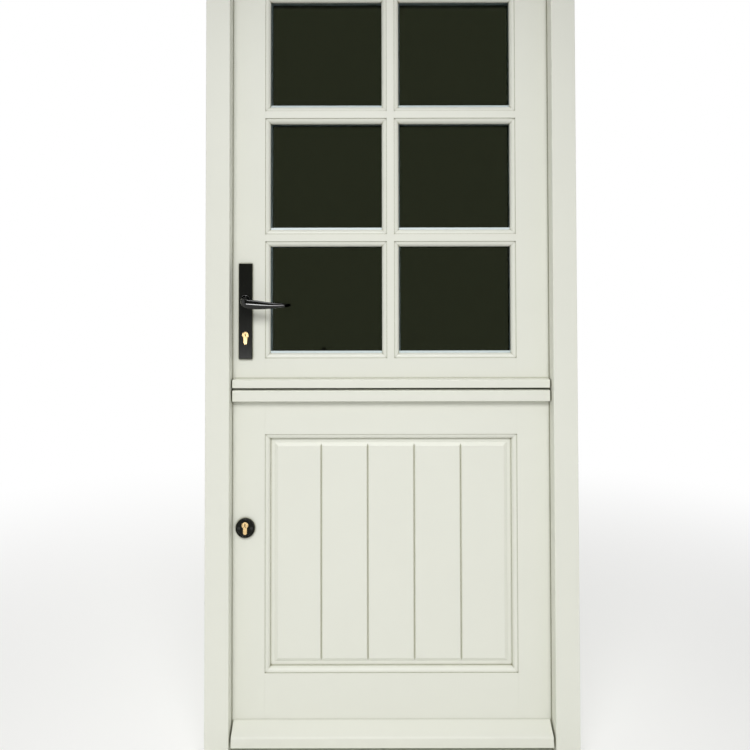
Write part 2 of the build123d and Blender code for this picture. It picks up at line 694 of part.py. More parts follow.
with BuildPart() as threshold_strip:
    with BuildSketch(Plane.YZ.offset(-REBATE_HALF + THRESHOLD_END_GAP)):
        with BuildLine():
            Polyline(*[(LEAF_MIDDLE + y, SILL_HEIGHT + z) for y, z in THRESHOLD_OUTLINE], close=True)
        make_face()
    extrude(amount=2 * (REBATE_HALF - THRESHOLD_END_GAP))
finish(threshold_strip, "threshold_strip")


def seal_section(bead_height):
    """Section of a compression seal: a soft bead and the stem that holds it in its groove."""
    with BuildSketch() as section:
        with Locations((0, bead_height / 2)):
            Rectangle(SEAL_WIDTH, bead_height)
        fillet(section.vertices().group_by(Axis.Y)[-1], min(bead_height, SEAL_WIDTH) / 3)
        with Locations((0, -SEAL_STEM_DEPTH / 2)):
            Rectangle(SEAL_STEM_WIDTH, SEAL_STEM_DEPTH)
    return section.sketch


FRAME_SEAL = seal_section(SEAL_GAP - SEAL_CLEARANCE)

with BuildPart() as frame_seal:
    for side in (-1, 1):
        with BuildSketch(Plane(origin=(side * SEAL_CENTRE, STOP_DEPTH, SILL_HEIGHT), z_dir=(0, 0, 1))):
            add(FRAME_SEAL)
        extrude(amount=HEAD_LINE - SILL_HEIGHT)
    head_seal_height = HEAD_LINE + SEAL_OFFSET + SEAL_WIDTH / 2
    with BuildSketch(
        Plane(origin=(-REBATE_HALF, STOP_DEPTH, head_seal_height), x_dir=(0, 0, -1), z_dir=(1, 0, 0))
    ):
        add(FRAME_SEAL)
    extrude(amount=2 * REBATE_HALF)
finish(frame_seal, "frame_seal")


def keep_plate(span, apertures):
    """A keep: a plate with the apertures that its bolts enter, and screw holes."""
    with BuildPart() as plate:
        block((KEEP_FACE - KEEP_THICKNESS, KEEP_FACE), KEEP_DEPTH_SPAN, span)
        for aperture, throw in apertures:
            block(
                (KEEP_FACE - KEEP_THICKNESS, KEEP_FACE),
                grown(BOLT_SPAN, APERTURE_CLEARANCE),
                grown(aperture, APERTURE_CLEARANCE),
                mode=Mode.SUBTRACT,
            )
        with Locations(*KEEP_SCREWS):
            add(SCREW_HOLE, mode=Mode.SUBTRACT)
    return plate.part


with BuildPart() as keep_upper:
    add(keep_plate(UPPER_KEEP_SPAN, BOLT_APERTURES[:1] + LATCH_APERTURE))
finish(keep_upper, "keep_upper")

with BuildPart() as keep_lower:
    add(keep_plate(LOWER_KEEP_SPAN, BOLT_APERTURES[1:]))
finish(keep_lower, "keep_lower")

with BuildPart() as keep_hooks:
    for span, aperture in zip(HOOK_KEEP_SPANS, HOOK_APERTURES):
        add(keep_plate(span, [aperture]))
finish(keep_hooks, "keep_hooks")

# Hinges: the middle third of each barrel belongs to the leaf, the outer thirds to the frame


def hinge_plate(height, x, knuckles, bore, screws):
    """One half of a butt hinge: a plate, its rolled knuckles and its countersunk holes."""
    with BuildPart() as plate:
        block(x, (LEAF_BACK - HINGE_WIDTH, LEAF_BACK), about(height, HINGE_HEIGHT))
        for low, high in knuckles:
            block(x, (LEAF_BACK, PIN_Y), (height + low, height + high))
            round_bar(KNUCKLE_RADIUS, (PIN_X, PIN_Y, height + low), (PIN_X, PIN_Y, height + high))
            round_bar(
                bore, (PIN_X, PIN_Y, height + low), (PIN_X, PIN_Y, height + high), mode=Mode.SUBTRACT
            )
        with Locations(*screws):
            add(SCREW_HOLE, mode=Mode.SUBTRACT)
    return plate.part


KNUCKLE_JOINT = HINGE_HEIGHT / 6
FRAME_KNUCKLES = [(-HINGE_HEIGHT / 2, -KNUCKLE_JOINT), (KNUCKLE_JOINT, HINGE_HEIGHT / 2)]
LEAF_KNUCKLES = [(-KNUCKLE_JOINT + KNUCKLE_GAP, KNUCKLE_JOINT - KNUCKLE_GAP)]

with BuildPart() as hinge_frame_plates:
    for height in LOWER_HINGE_HEIGHTS + UPPER_HINGE_HEIGHTS:
        add(
            hinge_plate(
                height,
                (REBATE_HALF, REBATE_HALF + HINGE_PLATE),
                FRAME_KNUCKLES,
                PIN_RADIUS,
                hinge_screw_sites([height], REBATE_HALF, -1),
            )
        )
finish(hinge_frame_plates, "hinge_frame_plates")

with BuildPart() as hinge_pins:
    for height in LOWER_HINGE_HEIGHTS + UPPER_HINGE_HEIGHTS:
        low, high = about(height, HINGE_HEIGHT)
        round_bar(PIN_RADIUS, (PIN_X, PIN_Y, low), (PIN_X, PIN_Y, high))
        round_bar(PIN_HEAD_RADIUS, (PIN_X, PIN_Y, high), (PIN_X, PIN_Y, high + PIN_HEAD_HEIGHT))
        round_bar(PIN_HEAD_RADIUS, (PIN_X, PIN_Y, low - PIN_HEAD_HEIGHT), (PIN_X, PIN_Y, low))
finish(hinge_pins, "hinge_pins")

with BuildPart() as frame_screws:
    with Locations(*FRAME_HINGE_SCREWS, *KEEP_SCREWS):
        add(SCREW)
finish(frame_screws, "frame_screws")


def leaf_hinge_plates(name, heights):
    """The leaf's halves of its two hinges."""
    with BuildPart() as plates:
        for height in heights:
            add(
                hinge_plate(
                    height,
                    (LEAF_HALF - HINGE_PLATE, LEAF_HALF),
                    LEAF_KNUCKLES,
                    PIN_RADIUS + PIN_CLEARANCE,
                    hinge_screw_sites([height], LEAF_HALF, 1),
                )
            )
    finish(plates, name)


leaf_hinge_plates("upper_hinge_plates", UPPER_HINGE_HEIGHTS)
leaf_hinge_plates("lower_hinge_plates", LOWER_HINGE_HEIGHTS)


def cut_screw_holes(sites, hole):
    """Drills the holes for screws in the piece being built."""
    with Locations(*sites):
        add(hole, mode=Mode.SUBTRACT)


def cut_hinge_seats(heights, screws):
    """Lets hinge plates and their screws into the stile being built."""
    for height in heights:
        block(
            (LEAF_HALF - HINGE_PLATE, LEAF_HALF),
            (LEAF_BACK - HINGE_WIDTH, LEAF_BACK),
            about(height, HINGE_HEIGHT),
            mode=Mode.SUBTRACT,
        )
    cut_screw_holes(screws, SCREW_HOLE)


# Lock sections and seats


def euro_section(grow=0.0):
    """Section of a euro-profile cylinder: a round barrel above a web with a rounded foot."""
    foot = CYLINDER_WEB / 2
    with BuildSketch() as section:
        Circle(CYLINDER_RADIUS + grow)
        with Locations((0, -(CYLINDER_DROP - foot) / 2)):
            Rectangle(CYLINDER_WEB + 2 * grow, CYLINDER_DROP - foot)
        with Locations((0, -(CYLINDER_DROP - foot))):
            Circle(foot + grow)
    return section.sketch


def euro_bar(height, span, grow=0.0):
    """A bar of the cylinder's section through the leaf, for the cylinder itself or for its holes."""
    section = euro_section(grow)
    with BuildPart() as bar:
        with BuildSketch(across_leaf(LOCK_X, span[1], height)):
            add(section)
        extrude(amount=span[1] - span[0])
    return bar.part


def cut_lock_seats(cases, faceplate, cylinder, screws):
    """Lets a faceplate, its lock cases, the cylinder and the screws into the stile being built."""
    cylinder_hole = euro_bar(cylinder, LEAF_SPAN, CYLINDER_HOLE_CLEARANCE)
    block((-LEAF_HALF, CASE_FRONT), about(LEAF_MIDDLE, FACEPLATE_WIDTH), faceplate, mode=Mode.SUBTRACT)
    for span, depth in cases:
        block((CASE_FRONT, CASE_FRONT + depth), CASE_SPAN, span, mode=Mode.SUBTRACT)
    add(cylinder_hole, mode=Mode.SUBTRACT)
    cut_screw_holes(screws, SCREW_HOLE)


# Upper leaf joinery

PLATE_BOLT_HEIGHTS = about(PLATE_CENTRE_HEIGHT, PLATE_BOLT_SPACING)
GLAZING_SPAN = (GLAZING_LOW, GLAZING_HIGH)
UPPER_SPAN = (UPPER_BOTTOM, LEAF_TOP)
LOWER_SPAN = (LEAF_BOTTOM, MEETING_HEIGHT)
PANEL_SPAN = (PANEL_LOW, PANEL_HIGH)


def stile(side, span, tenons, lips):
    """A stile: a board with eased outer arrises, its moulding and the mortises for its rails."""
    with BuildPart() as upright:
        block(sorted((side * LEAF_HALF, side * STILE_EDGE)), LEAF_SPAN, span)
        fillet(upright.edges().filter_by(Axis.Z).group_by(Axis.X)[0 if side < 0 else -1], LEAF_ARRIS)
        add(lips)
        for tenon in tenons:
            if tenon[0][0] * side > 0:
                block(*tenon, mode=Mode.SUBTRACT)
    return upright.part


def cut_seal_groove(edge):
    """Runs the groove for a seal's stem along the bottom edge of a leaf."""
    block(
        (-LEAF_HALF, LEAF_HALF),
        about(LEAF_MIDDLE, SEAL_STEM_WIDTH),
        (edge, edge + SEAL_STEM_DEPTH),
        mode=Mode.SUBTRACT,
    )


def glazing_lips(edge, side):
    """The mouldings of a stile or bar beside the panes of one column, broken at the level bars."""
    return [upright_lip(edge, side, row) for row in ROWS]


with BuildPart() as upper_stile_lock:
    add(stile(-1, UPPER_SPAN, UPPER_TENONS, glazing_lips(-STILE_EDGE, 1)))
    cut_lock_seats(UPPER_CASES, UPPER_FACEPLATE_SPAN, CYLINDER_HEIGHT, UPPER_LOCK_SCREWS)
    cut_seal_groove(UPPER_BOTTOM)
    spindle_ends = [(LOCK_X, y, LEVER_HEIGHT) for y in LEAF_SPAN]
    round_bar(SPINDLE_BORE_RADIUS, *spindle_ends, mode=Mode.SUBTRACT)
    for height in PLATE_BOLT_HEIGHTS:
        bolt_ends = [(LOCK_X, y, height) for y in LEAF_SPAN]
        round_bar(PLATE_BOLT_RADIUS, *bolt_ends, mode=Mode.SUBTRACT)
finish(upper_stile_lock, "upper_stile_lock")

with BuildPart() as upper_stile_hinge:
    add(stile(1, UPPER_SPAN, UPPER_TENONS, glazing_lips(STILE_EDGE, -1)))
    cut_hinge_seats(UPPER_HINGE_HEIGHTS, UPPER_HINGE_SCREWS)
    cut_seal_groove(UPPER_BOTTOM)
finish(upper_stile_hinge, "upper_stile_hinge")


def glazing_rail(span, edge, side, bar_tenon):
    """A rail of the upper leaf with its moulding, its tenons and the mortise for the upright bar."""
    lips = [coped_lip(edge, side, column) for column in COLUMNS]
    with BuildPart() as rail:
        block((-STILE_EDGE, STILE_EDGE), LEAF_SPAN, span)
        add(lips)
        for tenon in rail_tenons(span):
            block(*tenon)
        block(*bar_tenon, mode=Mode.SUBTRACT)
    return rail.part


with BuildPart() as top_rail:
    add(glazing_rail(TOP_RAIL_SPAN, GLAZING_HIGH, -1, UPRIGHT_BAR_TENONS[1]))
finish(top_rail, "top_rail")

with BuildPart() as upper_meeting_rail:
    add(glazing_rail(UPPER_MEETING_SPAN, GLAZING_LOW, 1, UPRIGHT_BAR_TENONS[0]))
    cut_seal_groove(UPPER_BOTTOM)
    cut_screw_holes(JOIN_PLATE_SCREWS, SCREW_HOLE)
finish(upper_meeting_rail, "upper_meeting_rail")

with BuildPart() as glazing_bar_upright:
    block((-BAR_FACE / 2, BAR_FACE / 2), LEAF_SPAN, GLAZING_SPAN)
    for side in (-1, 1):
        add(glazing_lips(side * BAR_FACE / 2, side))
    for crossing in CROSSINGS:
        block((-BAR_FACE / 2, BAR_FACE / 2), (LEAF_MIDDLE, LEAF_BACK), crossing, mode=Mode.SUBTRACT)
    for tenon in UPRIGHT_BAR_TENONS:
        block(*tenon)
finish(glazing_bar_upright, "glazing_bar_upright")


def cross_bar(name, crossing):
    """A level glazing bar, halved over the back of the upright bar."""
    lips = [coped_lip(edge, side, column) for edge, side in zip(crossing, (-1, 1)) for column in COLUMNS]
    with BuildPart() as bar:
        block((-STILE_EDGE, STILE_EDGE), LEAF_SPAN, crossing)
        block((-BAR_FACE / 2, BAR_FACE / 2), (LEAF_FRONT, LEAF_MIDDLE), crossing, mode=Mode.SUBTRACT)
        add(lips)
        for tenon in bar_tenons(crossing):
            block(*tenon)
    finish(bar, name)


cross_bar("glazing_bar_lower", CROSSINGS[0])
cross_bar("glazing_bar_upper", CROSSINGS[1])

# Glazing: sealed double units, held from inside by mitred beads

PANE_FRONT = LEAF_FRONT + LIP_DEPTH
UNIT_BACK = PANE_FRONT + 2 * GLASS_THICKNESS + GLASS_CAVITY
BEAD_DEPTH = LEAF_BACK - UNIT_BACK
CELL_WIDTH = COLUMNS[0][1] - COLUMNS[0][0]
CELL_CENTRES = [((x[0] + x[1]) / 2, (z[0] + z[1]) / 2) for z in ROWS for x in COLUMNS]

with BuildPart() as glass_panes:
    for y in (PANE_FRONT, UNIT_BACK - GLASS_THICKNESS):
        with BuildSketch(across_leaf(0, y + GLASS_THICKNESS, 0)):
            with Locations(*CELL_CENTRES):
                Rectangle(CELL_WIDTH - 2 * GLASS_EDGE_GAP, ROW_HEIGHT - 2 * GLASS_EDGE_GAP)
        extrude(amount=GLASS_THICKNESS)
finish(glass_panes, "glass_panes")

with BuildPart() as glass_spacers:
    inset = GLASS_EDGE_GAP + SPACER_INSET
    with BuildSketch(across_leaf(0, UNIT_BACK - GLASS_THICKNESS, 0)):
        with Locations(*CELL_CENTRES):
            Rectangle(CELL_WIDTH - 2 * inset, ROW_HEIGHT - 2 * inset)
            Rectangle(
                CELL_WIDTH - 2 * (inset + SPACER_WIDTH),
                ROW_HEIGHT - 2 * (inset + SPACER_WIDTH),
                mode=Mode.SUBTRACT,
            )
    extrude(amount=GLASS_CAVITY)
finish(glass_spacers, "glass_spacers")


def bead(length_half, reach_half, turned):
    """One mitred bead of a pane, along the bottom of its cell, or along its left side if turned."""
    inner = LIP_WIDTH
    end = length_half - BEAD_MITRE_GAP
    corners = [
        (-end, -reach_half),
        (end, -reach_half),
        (end - inner, -reach_half + inner),
        (-end + inner, -reach_half + inner),
    ]
    if turned:
        corners = [(z, x) for x, z in corners]
    with BuildPart() as strip:
        with BuildSketch(across_leaf(0, LEAF_BACK, 0)):
            with BuildLine():
                Polyline(*corners, close=True)
            make_face()
        extrude(amount=BEAD_DEPTH)
        sight_edges = strip.edges().group_by(Axis.Y)[-1]
        sight_edge = sight_edges.filter_by(Axis.Z if turned else Axis.X).sort_by(SortBy.LENGTH)[0]
        chamfer(sight_edge, BEAD_CHAMFER)
    return strip.part


BEAD_BOTTOM = bead(CELL_WIDTH / 2, ROW_HEIGHT / 2, False)
BEAD_LEFT = bead(ROW_HEIGHT / 2, CELL_WIDTH / 2, True)
BEADS = [
    BEAD_BOTTOM,
    BEAD_LEFT,
    BEAD_BOTTOM.mirror(Plane.XY),
    BEAD_LEFT.mirror(Plane.YZ),
]

with BuildPart() as glazing_beads:
    with Locations(*[(x, 0, z) for x, z in CELL_CENTRES]):
        add(BEADS)
finish(glazing_beads, "glazing_beads")

# Planted bars, the weatherboard and the seals on the leaves


def bar_section(projection, low, high, fall, arris):
    """Section of a planted bar: flat back, sloped top, eased front arrises and a throat below."""
    front = LEAF_FRONT - projection
    with BuildSketch() as section:
        with BuildLine():
            Polyline(
                (LEAF_FRONT, low), (LEAF_FRONT, high), (front, high - fall), (front, low), close=True
            )
        make_face()
        fillet(section.vertices().group_by(Axis.X)[0], arris)
        with Locations((front + THROAT_INSET - THROAT_RADIUS, low)):
            Circle(THROAT_RADIUS / 2, mode=Mode.SUBTRACT)
    return section.sketch


def planted_bar(name, section, half_length):
    """A planted bar of one section along the leaf."""
    with BuildPart() as bar:
        with BuildSketch(Plane.YZ.offset(-half_length)):
            add(section)
        extrude(amount=2 * half_length)
    finish(bar, name)


BAR_HALF = STOP_HALF - BAR_END_GAP
DRIP_SECTION = bar_section(
    MEETING_BAR_PROJECTION, UPPER_BOTTOM, UPPER_BOTTOM + DRIP_BAR_HEIGHT, BAR_TOP_FALL, BAR_ARRIS
)
SHELF_TOP = MEETING_HEIGHT - SHELF_BAR_DROP
SHELF_SECTION = bar_section(
    MEETING_BAR_PROJECTION, SHELF_TOP - SHELF_BAR_HEIGHT, SHELF_TOP, BAR_TOP_FALL, BAR_ARRIS
)
planted_bar("drip_bar_upper", DRIP_SECTION, BAR_HALF)
planted_bar("shelf_bar_lower", SHELF_SECTION, BAR_HALF)


def weatherboard_section():
    """Section of the weatherboard: a hollowed slope down to a rounded nose with a throat under it."""
    low = LEAF_BOTTOM + WEATHERBOARD_RISE
    high = low + WEATHERBOARD_HEIGHT
    nose = LEAF_FRONT - WEATHERBOARD_PROJECTION
    with BuildSketch() as section:
        with BuildLine():
            Polyline(
                (LEAF_FRONT, low),
                (LEAF_FRONT, high),
                (nose, low + WEATHERBOARD_NOSE),
                (nose, low),
                close=True,
            )
        make_face()
        nose_corner = section.vertices().group_by(Axis.X)[0].sort_by(Axis.Y)[-1]
        fillet(nose_corner, WEATHERBOARD_NOSE_RADIUS)
        with Locations((nose + THROAT_INSET, low)):
            Circle(THROAT_RADIUS, mode=Mode.SUBTRACT)
    return section.sketch


planted_bar("weatherboard", weatherboard_section(), STOP_HALF - WEATHERBOARD_END_GAP)


def leaf_seal(name, edge, gap):
    """The seal under the bottom edge of a leaf, its bead hanging into the gap below."""
    section = seal_section(gap - SEAL_CLEARANCE)
    with BuildPart() as strip:
        with BuildSketch(
            Plane(origin=(-LEAF_HALF + LEAF_GAP, LEAF_MIDDLE, edge), x_dir=(0, -1, 0), z_dir=(1, 0, 0))
        ):
            add(section)
        extrude(amount=2 * (LEAF_HALF - LEAF_GAP))
    finish(strip, name)


leaf_seal("meeting_seal", UPPER_BOTTOM, MEETING_GAP)
leaf_seal("bottom_seal", LEAF_BOTTOM, SILL_GAP)

# Lower leaf joinery


def both_lips(edge, side):
    """The mouldings on both faces of a stile beside the panel."""
    return [upright_lip(edge, side, PANEL_SPAN, room_side) for room_side in (False, True)]


with BuildPart() as lower_stile_lock:
    add(stile(-1, LOWER_SPAN, LOWER_TENONS, both_lips(-STILE_EDGE, 1)))
    cut_lock_seats(LOWER_CASES, LOWER_FACEPLATE_SPAN, LOWER_CYLINDER_HEIGHT, LOWER_LOCK_SCREWS)
    cut_screw_holes(ESCUTCHEON_SCREWS, SHORT_SCREW_HOLE)
    cut_seal_groove(LEAF_BOTTOM)
finish(lower_stile_lock, "lower_stile_lock")

with BuildPart() as lower_stile_hinge:
    add(stile(1, LOWER_SPAN, LOWER_TENONS, both_lips(STILE_EDGE, -1)))
    cut_hinge_seats(LOWER_HINGE_HEIGHTS, LOWER_HINGE_SCREWS)
    cut_seal_groove(LEAF_BOTTOM)
finish(lower_stile_hinge, "lower_stile_hinge")


def panel_rail(span, edge, side):
    """A rail of the lower leaf with mouldings on both faces and its tenons."""
    lips = [coped_lip(edge, side, (-STILE_EDGE, STILE_EDGE), room_side) for room_side in (False, True)]
    with BuildPart() as rail:
        block((-STILE_EDGE, STILE_EDGE), LEAF_SPAN, span)
        add(lips)
        for tenon in rail_tenons(span):
            block(*tenon)
    return rail.part


with BuildPart() as lower_meeting_rail:
    add(panel_rail(LOWER_MEETING_SPAN, PANEL_HIGH, -1))
    cut_screw_holes(JOIN_KEEP_SCREWS, SCREW_HOLE)
finish(lower_meeting_rail, "lower_meeting_rail")

with BuildPart() as bottom_rail:
    add(panel_rail(BOTTOM_RAIL_SPAN, PANEL_LOW, 1))
    cut_seal_groove(LEAF_BOTTOM)
finish(bottom_rail, "bottom_rail")

PANEL_HALF = (PANEL_HIGH - PANEL_LOW) / 2
PANEL_CENTRE = (PANEL_HIGH + PANEL_LOW) / 2
FIELD_INSET = LIP_WIDTH + PANEL_MARGIN
GROOVE_PLACES = [(i - (GROOVE_COUNT - 1) / 2) * GROOVE_PITCH for i in range(GROOVE_COUNT)]


def raised_field(face, outward):
    """The raised field on one face of the panel, bevelled to its margin."""
    with BuildPart() as field:
        for inset, rise in ((FIELD_INSET, 0), (FIELD_INSET + PANEL_BEVEL, PANEL_RISE)):
            with BuildSketch(across_leaf(0, face + outward * rise, PANEL_CENTRE)):
                Rectangle(2 * (STILE_EDGE - inset), 2 * (PANEL_HALF - inset))
        loft()
    return field.part


FRONT_MARGIN = LEAF_FRONT + LIP_DEPTH
BACK_MARGIN = LEAF_BACK - LIP_DEPTH
PANEL_FIELDS = [raised_field(FRONT_MARGIN, -1), raised_field(BACK_MARGIN, 1)]

with BuildPart() as panel:
    block(
        (-STILE_EDGE + PANEL_EDGE_GAP, STILE_EDGE - PANEL_EDGE_GAP),
        (FRONT_MARGIN, BACK_MARGIN),
        (PANEL_LOW + PANEL_EDGE_GAP, PANEL_HIGH - PANEL_EDGE_GAP),
    )
    add(PANEL_FIELDS)
    with BuildSketch(Plane.XY.offset(PANEL_LOW)):
        for place in GROOVE_PLACES:
            for face, inward in ((FRONT_MARGIN - PANEL_RISE, 1), (BACK_MARGIN + PANEL_RISE, -1)):
                with BuildLine():
                    Polyline(
                        (place - GROOVE_WIDTH / 2, face),
                        (place + GROOVE_WIDTH / 2, face),
                        (place, face + inward * GROOVE_DEPTH),
                        close=True,
                    )
                make_face()
    extrude(amount=2 * PANEL_HALF, mode=Mode.SUBTRACT)
finish(panel, "panel")

# Lock cases, faceplates, bolts and cylinders


def lock_case(span, depth):
    """A pressed lock case, open towards its faceplate."""
    with BuildPart() as case:
        block((CASE_FRONT, CASE_FRONT + depth), CASE_SPAN, span)
        block(
            (CASE_FRONT, CASE_FRONT + depth - CASE_WALL),
            CAVITY_SPAN,
            inset_span(span, CASE_WALL),
            mode=Mode.SUBTRACT,
        )
    return case.part


def hook_pivot(height):
    """Ends of the rivet that a hook turns on."""
    return [(CASE_FRONT - FACEPLATE_THICKNESS + HOOK_PIVOT_INSET, y, height) for y in CASE_SPAN]


with BuildPart() as upper_lock_cases:
    add(lock_case(*UPPER_CASES[0]))
    add(euro_bar(CYLINDER_HEIGHT, CASE_SPAN, CYLINDER_CLEARANCE), mode=Mode.SUBTRACT)
    round_bar(
        SPINDLE_HOLE_RADIUS, *[(LOCK_X, y, LEVER_HEIGHT) for y in CASE_SPAN], mode=Mode.SUBTRACT
    )
    for height, case in zip(HOOK_HEIGHTS, UPPER_CASES[1:]):
        add(lock_case(*case))
        round_bar(HOOK_PIN_RADIUS, *hook_pivot(height))
finish(upper_lock_cases, "upper_lock_cases")

with BuildPart() as lower_lock_case:
    add(lock_case(*LOWER_CASES[0]))
    add(euro_bar(LOWER_CYLINDER_HEIGHT, CASE_SPAN, CYLINDER_CLEARANCE), mode=Mode.SUBTRACT)
finish(lower_lock_case, "lower_lock_case")


def faceplate(name, span, slots, screws):
    """A lock faceplate, let in flush with the edge of its stile."""
    with BuildPart() as plate:
        block((-LEAF_HALF, CASE_FRONT), about(LEAF_MIDDLE, FACEPLATE_WIDTH), span)
        for slot in slots:
            block((-LEAF_HALF, CASE_FRONT), CAVITY_SPAN, slot, mode=Mode.SUBTRACT)
        with Locations(*screws):
            add(SCREW_HOLE, mode=Mode.SUBTRACT)
    finish(plate, name)


faceplate(
    "upper_faceplate",
    UPPER_FACEPLATE_SPAN,
    [grown(LATCH_SPAN, BOLT_CLEARANCE), grown(UPPER_BOLT_SPAN, BOLT_CLEARANCE), *HOOK_SPANS],
    UPPER_LOCK_SCREWS,
)
faceplate(
    "lower_faceplate", LOWER_FACEPLATE_SPAN, [grown(LOWER_BOLT_SPAN, BOLT_CLEARANCE)], LOWER_LOCK_SCREWS
)


def deadbolt(name, span):
    """A deadbolt, drawn back flush with its faceplate."""
    with BuildPart() as bolt:
        block((-LEAF_HALF, -LEAF_HALF + BOLT_LENGTH), BOLT_SPAN, span)
    finish(bolt, name)


deadbolt("upper_deadbolt", UPPER_BOLT_SPAN)
deadbolt("lower_deadbolt", LOWER_BOLT_SPAN)

with BuildPart() as latch_bolt:
    with BuildSketch(Plane.XY.offset(LATCH_SPAN[0])):
        with BuildLine():
            Polyline(
                (-LEAF_HALF - LATCH_THROW + LATCH_LENGTH, BOLT_SPAN[0]),
                (-LEAF_HALF, BOLT_SPAN[0]),
                (-LEAF_HALF - LATCH_THROW, BOLT_SPAN[1] - LATCH_TIP),
                (-LEAF_HALF - LATCH_THROW, BOLT_SPAN[1]),
                (-LEAF_HALF - LATCH_THROW + LATCH_LENGTH, BOLT_SPAN[1]),
                close=True,
            )
        make_face()
    extrude(amount=LATCH_HEIGHT)
finish(latch_bolt, "latch_bolt")


def hook_bolt(name, height):
    """A hook bolt, drawn back upright in its case, its beak towards the stile."""
    pivot = hook_pivot(height)[0][0]
    beak = HOOK_ARM_WIDTH / 2 + HOOK_BEAK_LENGTH
    with BuildPart() as hook:
        with BuildSketch(across_leaf(pivot, LEAF_MIDDLE + HOOK_THICKNESS / 2, height)):
            Circle(HOOK_EYE_RADIUS)
            with BuildLine():
                Polyline(
                    (-HOOK_ARM_WIDTH / 2, 0),
                    (-HOOK_ARM_WIDTH / 2, HOOK_ARM_LENGTH),
                    (beak, HOOK_ARM_LENGTH),
                    (beak - HOOK_BEAK_TAPER, HOOK_ARM_LENGTH - HOOK_BEAK_HEIGHT),
                    (HOOK_ARM_WIDTH / 2, HOOK_ARM_LENGTH - HOOK_BEAK_HEIGHT),
                    (HOOK_ARM_WIDTH / 2, 0),
                    close=True,
                )
            make_face()
            Circle(HOOK_PIN_RADIUS + PIN_CLEARANCE, mode=Mode.SUBTRACT)
        extrude(amount=HOOK_THICKNESS)
    finish(hook, name)


hook_bolt("hook_bolt_lower", HOOK_HEIGHTS[0])
hook_bolt("hook_bolt_upper", HOOK_HEIGHTS[1])


def cylinder_span(furniture):
    """Span of a cylinder through the leaf and the furniture on both its faces."""
    return grown(LEAF_SPAN, furniture + CYLINDER_PROUD)


def cylinder(name, height, furniture):
    """A cylinder body: two barrels joined by a bridge below the gap that the cam turns in."""
    barrel = euro_bar(height, cylinder_span(furniture))
    low, high = cylinder_span(furniture)
    gap = about(LEAF_MIDDLE, CAM_THICKNESS + 2 * CAM_CLEARANCE)
    with BuildPart() as body:
        add(barrel)
        round_bar(
            PLUG_RADIUS + PLUG_CLEARANCE, (LOCK_X, low, height), (LOCK_X, high, height), mode=Mode.SUBTRACT
        )
        round_bar(
            CAM_REACH + CAM_CLEARANCE, *[(LOCK_X, y, height) for y in gap], mode=Mode.SUBTRACT
        )
    finish(body, name)


def cylinder_plug(name, height, furniture):
    """The plug that a key turns, with a keyway at both ends and the cam in its middle."""
    low, high = inset_span(cylinder_span(furniture), PLUG_INSET)
    with BuildPart() as plug:
        round_bar(PLUG_RADIUS, (LOCK_X, low, height), (LOCK_X, high, height))
        block(
            (LOCK_X, LOCK_X + CAM_REACH),
            about(LEAF_MIDDLE, CAM_THICKNESS),
            about(height, CAM_WIDTH),
        )
        for keyway in ((low, low + KEYWAY_DEPTH), (high - KEYWAY_DEPTH, high)):
            block(
                about(LOCK_X, KEYWAY_WIDTH), keyway, about(height, KEYWAY_HEIGHT), mode=Mode.SUBTRACT
            )
    finish(plug, name)


cylinder("upper_cylinder", CYLINDER_HEIGHT, PLATE_THICKNESS)
cylinder_plug("upper_cylinder_plug", CYLINDER_HEIGHT, PLATE_THICKNESS)
cylinder("lower_cylinder", LOWER_CYLINDER_HEIGHT, ESCUTCHEON_THICKNESS)
cylinder_plug("lower_cylinder_plug", LOWER_CYLINDER_HEIGHT, ESCUTCHEON_THICKNESS)

# Lever furniture of the upper leaf


def backplate(name, span, room_side):
    """A square-cornered backplate with holes for the spindle, the cylinder and its two bolts."""
    cylinder_hole = euro_bar(CYLINDER_HEIGHT, span, CYLINDER_CLEARANCE)
    with BuildPart() as plate:
        block(about(LOCK_X, PLATE_WIDTH), span, about(PLATE_CENTRE_HEIGHT, PLATE_HEIGHT))
        show = plate.faces().sort_by(Axis.Y)[-1 if room_side else 0]
        chamfer(show.edges(), PLATE_ARRIS)
        add(cylinder_hole, mode=Mode.SUBTRACT)
        round_bar(SPINDLE_HOLE_RADIUS, *[(LOCK_X, y, LEVER_HEIGHT) for y in span], mode=Mode.SUBTRACT)
        add(PLATE_BOLTS, mode=Mode.SUBTRACT)
    finish(plate, name)


OUTER_PLATE_SPAN = (LEAF_FRONT - PLATE_THICKNESS, LEAF_FRONT)
INNER_PLATE_SPAN = (LEAF_BACK, LEAF_BACK + PLATE_THICKNESS)
PLATE_BOLT_START = (OUTER_PLATE_SPAN[0] + OUTER_PLATE_SPAN[1]) / 2

with BuildPart() as plate_bolts:
    for height in PLATE_BOLT_HEIGHTS:
        head_start = INNER_PLATE_SPAN[1] - PLATE_THICKNESS / 2
        round_bar(
            PLATE_BOLT_RADIUS, (LOCK_X, PLATE_BOLT_START, height), (LOCK_X, INNER_PLATE_SPAN[1], height)
        )
        round_bar(
            PLATE_BOLT_HEAD_RADIUS, (LOCK_X, head_start, height), (LOCK_X, INNER_PLATE_SPAN[1], height)
        )
    PLATE_BOLTS = plate_bolts.part
finish(plate_bolts, "plate_bolts")
backplate("backplate_outer", OUTER_PLATE_SPAN, False)
backplate("backplate_inner", INNER_PLATE_SPAN, True)

SPINDLE_REACH = PLATE_THICKNESS + COLLAR_CLEARANCE + SPINDLE_SOCKET
SPINDLE_SPAN = grown(LEAF_SPAN, SPINDLE_REACH)

with BuildPart() as lever_spindle:
    block(about(LOCK_X, SPINDLE_WIDTH), SPINDLE_SPAN, about(LEVER_HEIGHT, SPINDLE_WIDTH))
finish(lever_spindle, "lever_spindle")

COLLAR_FRONT = OUTER_PLATE_SPAN[0] - COLLAR_CLEARANCE
ARM_Y = LEAF_FRONT - LEVER_STANDOFF

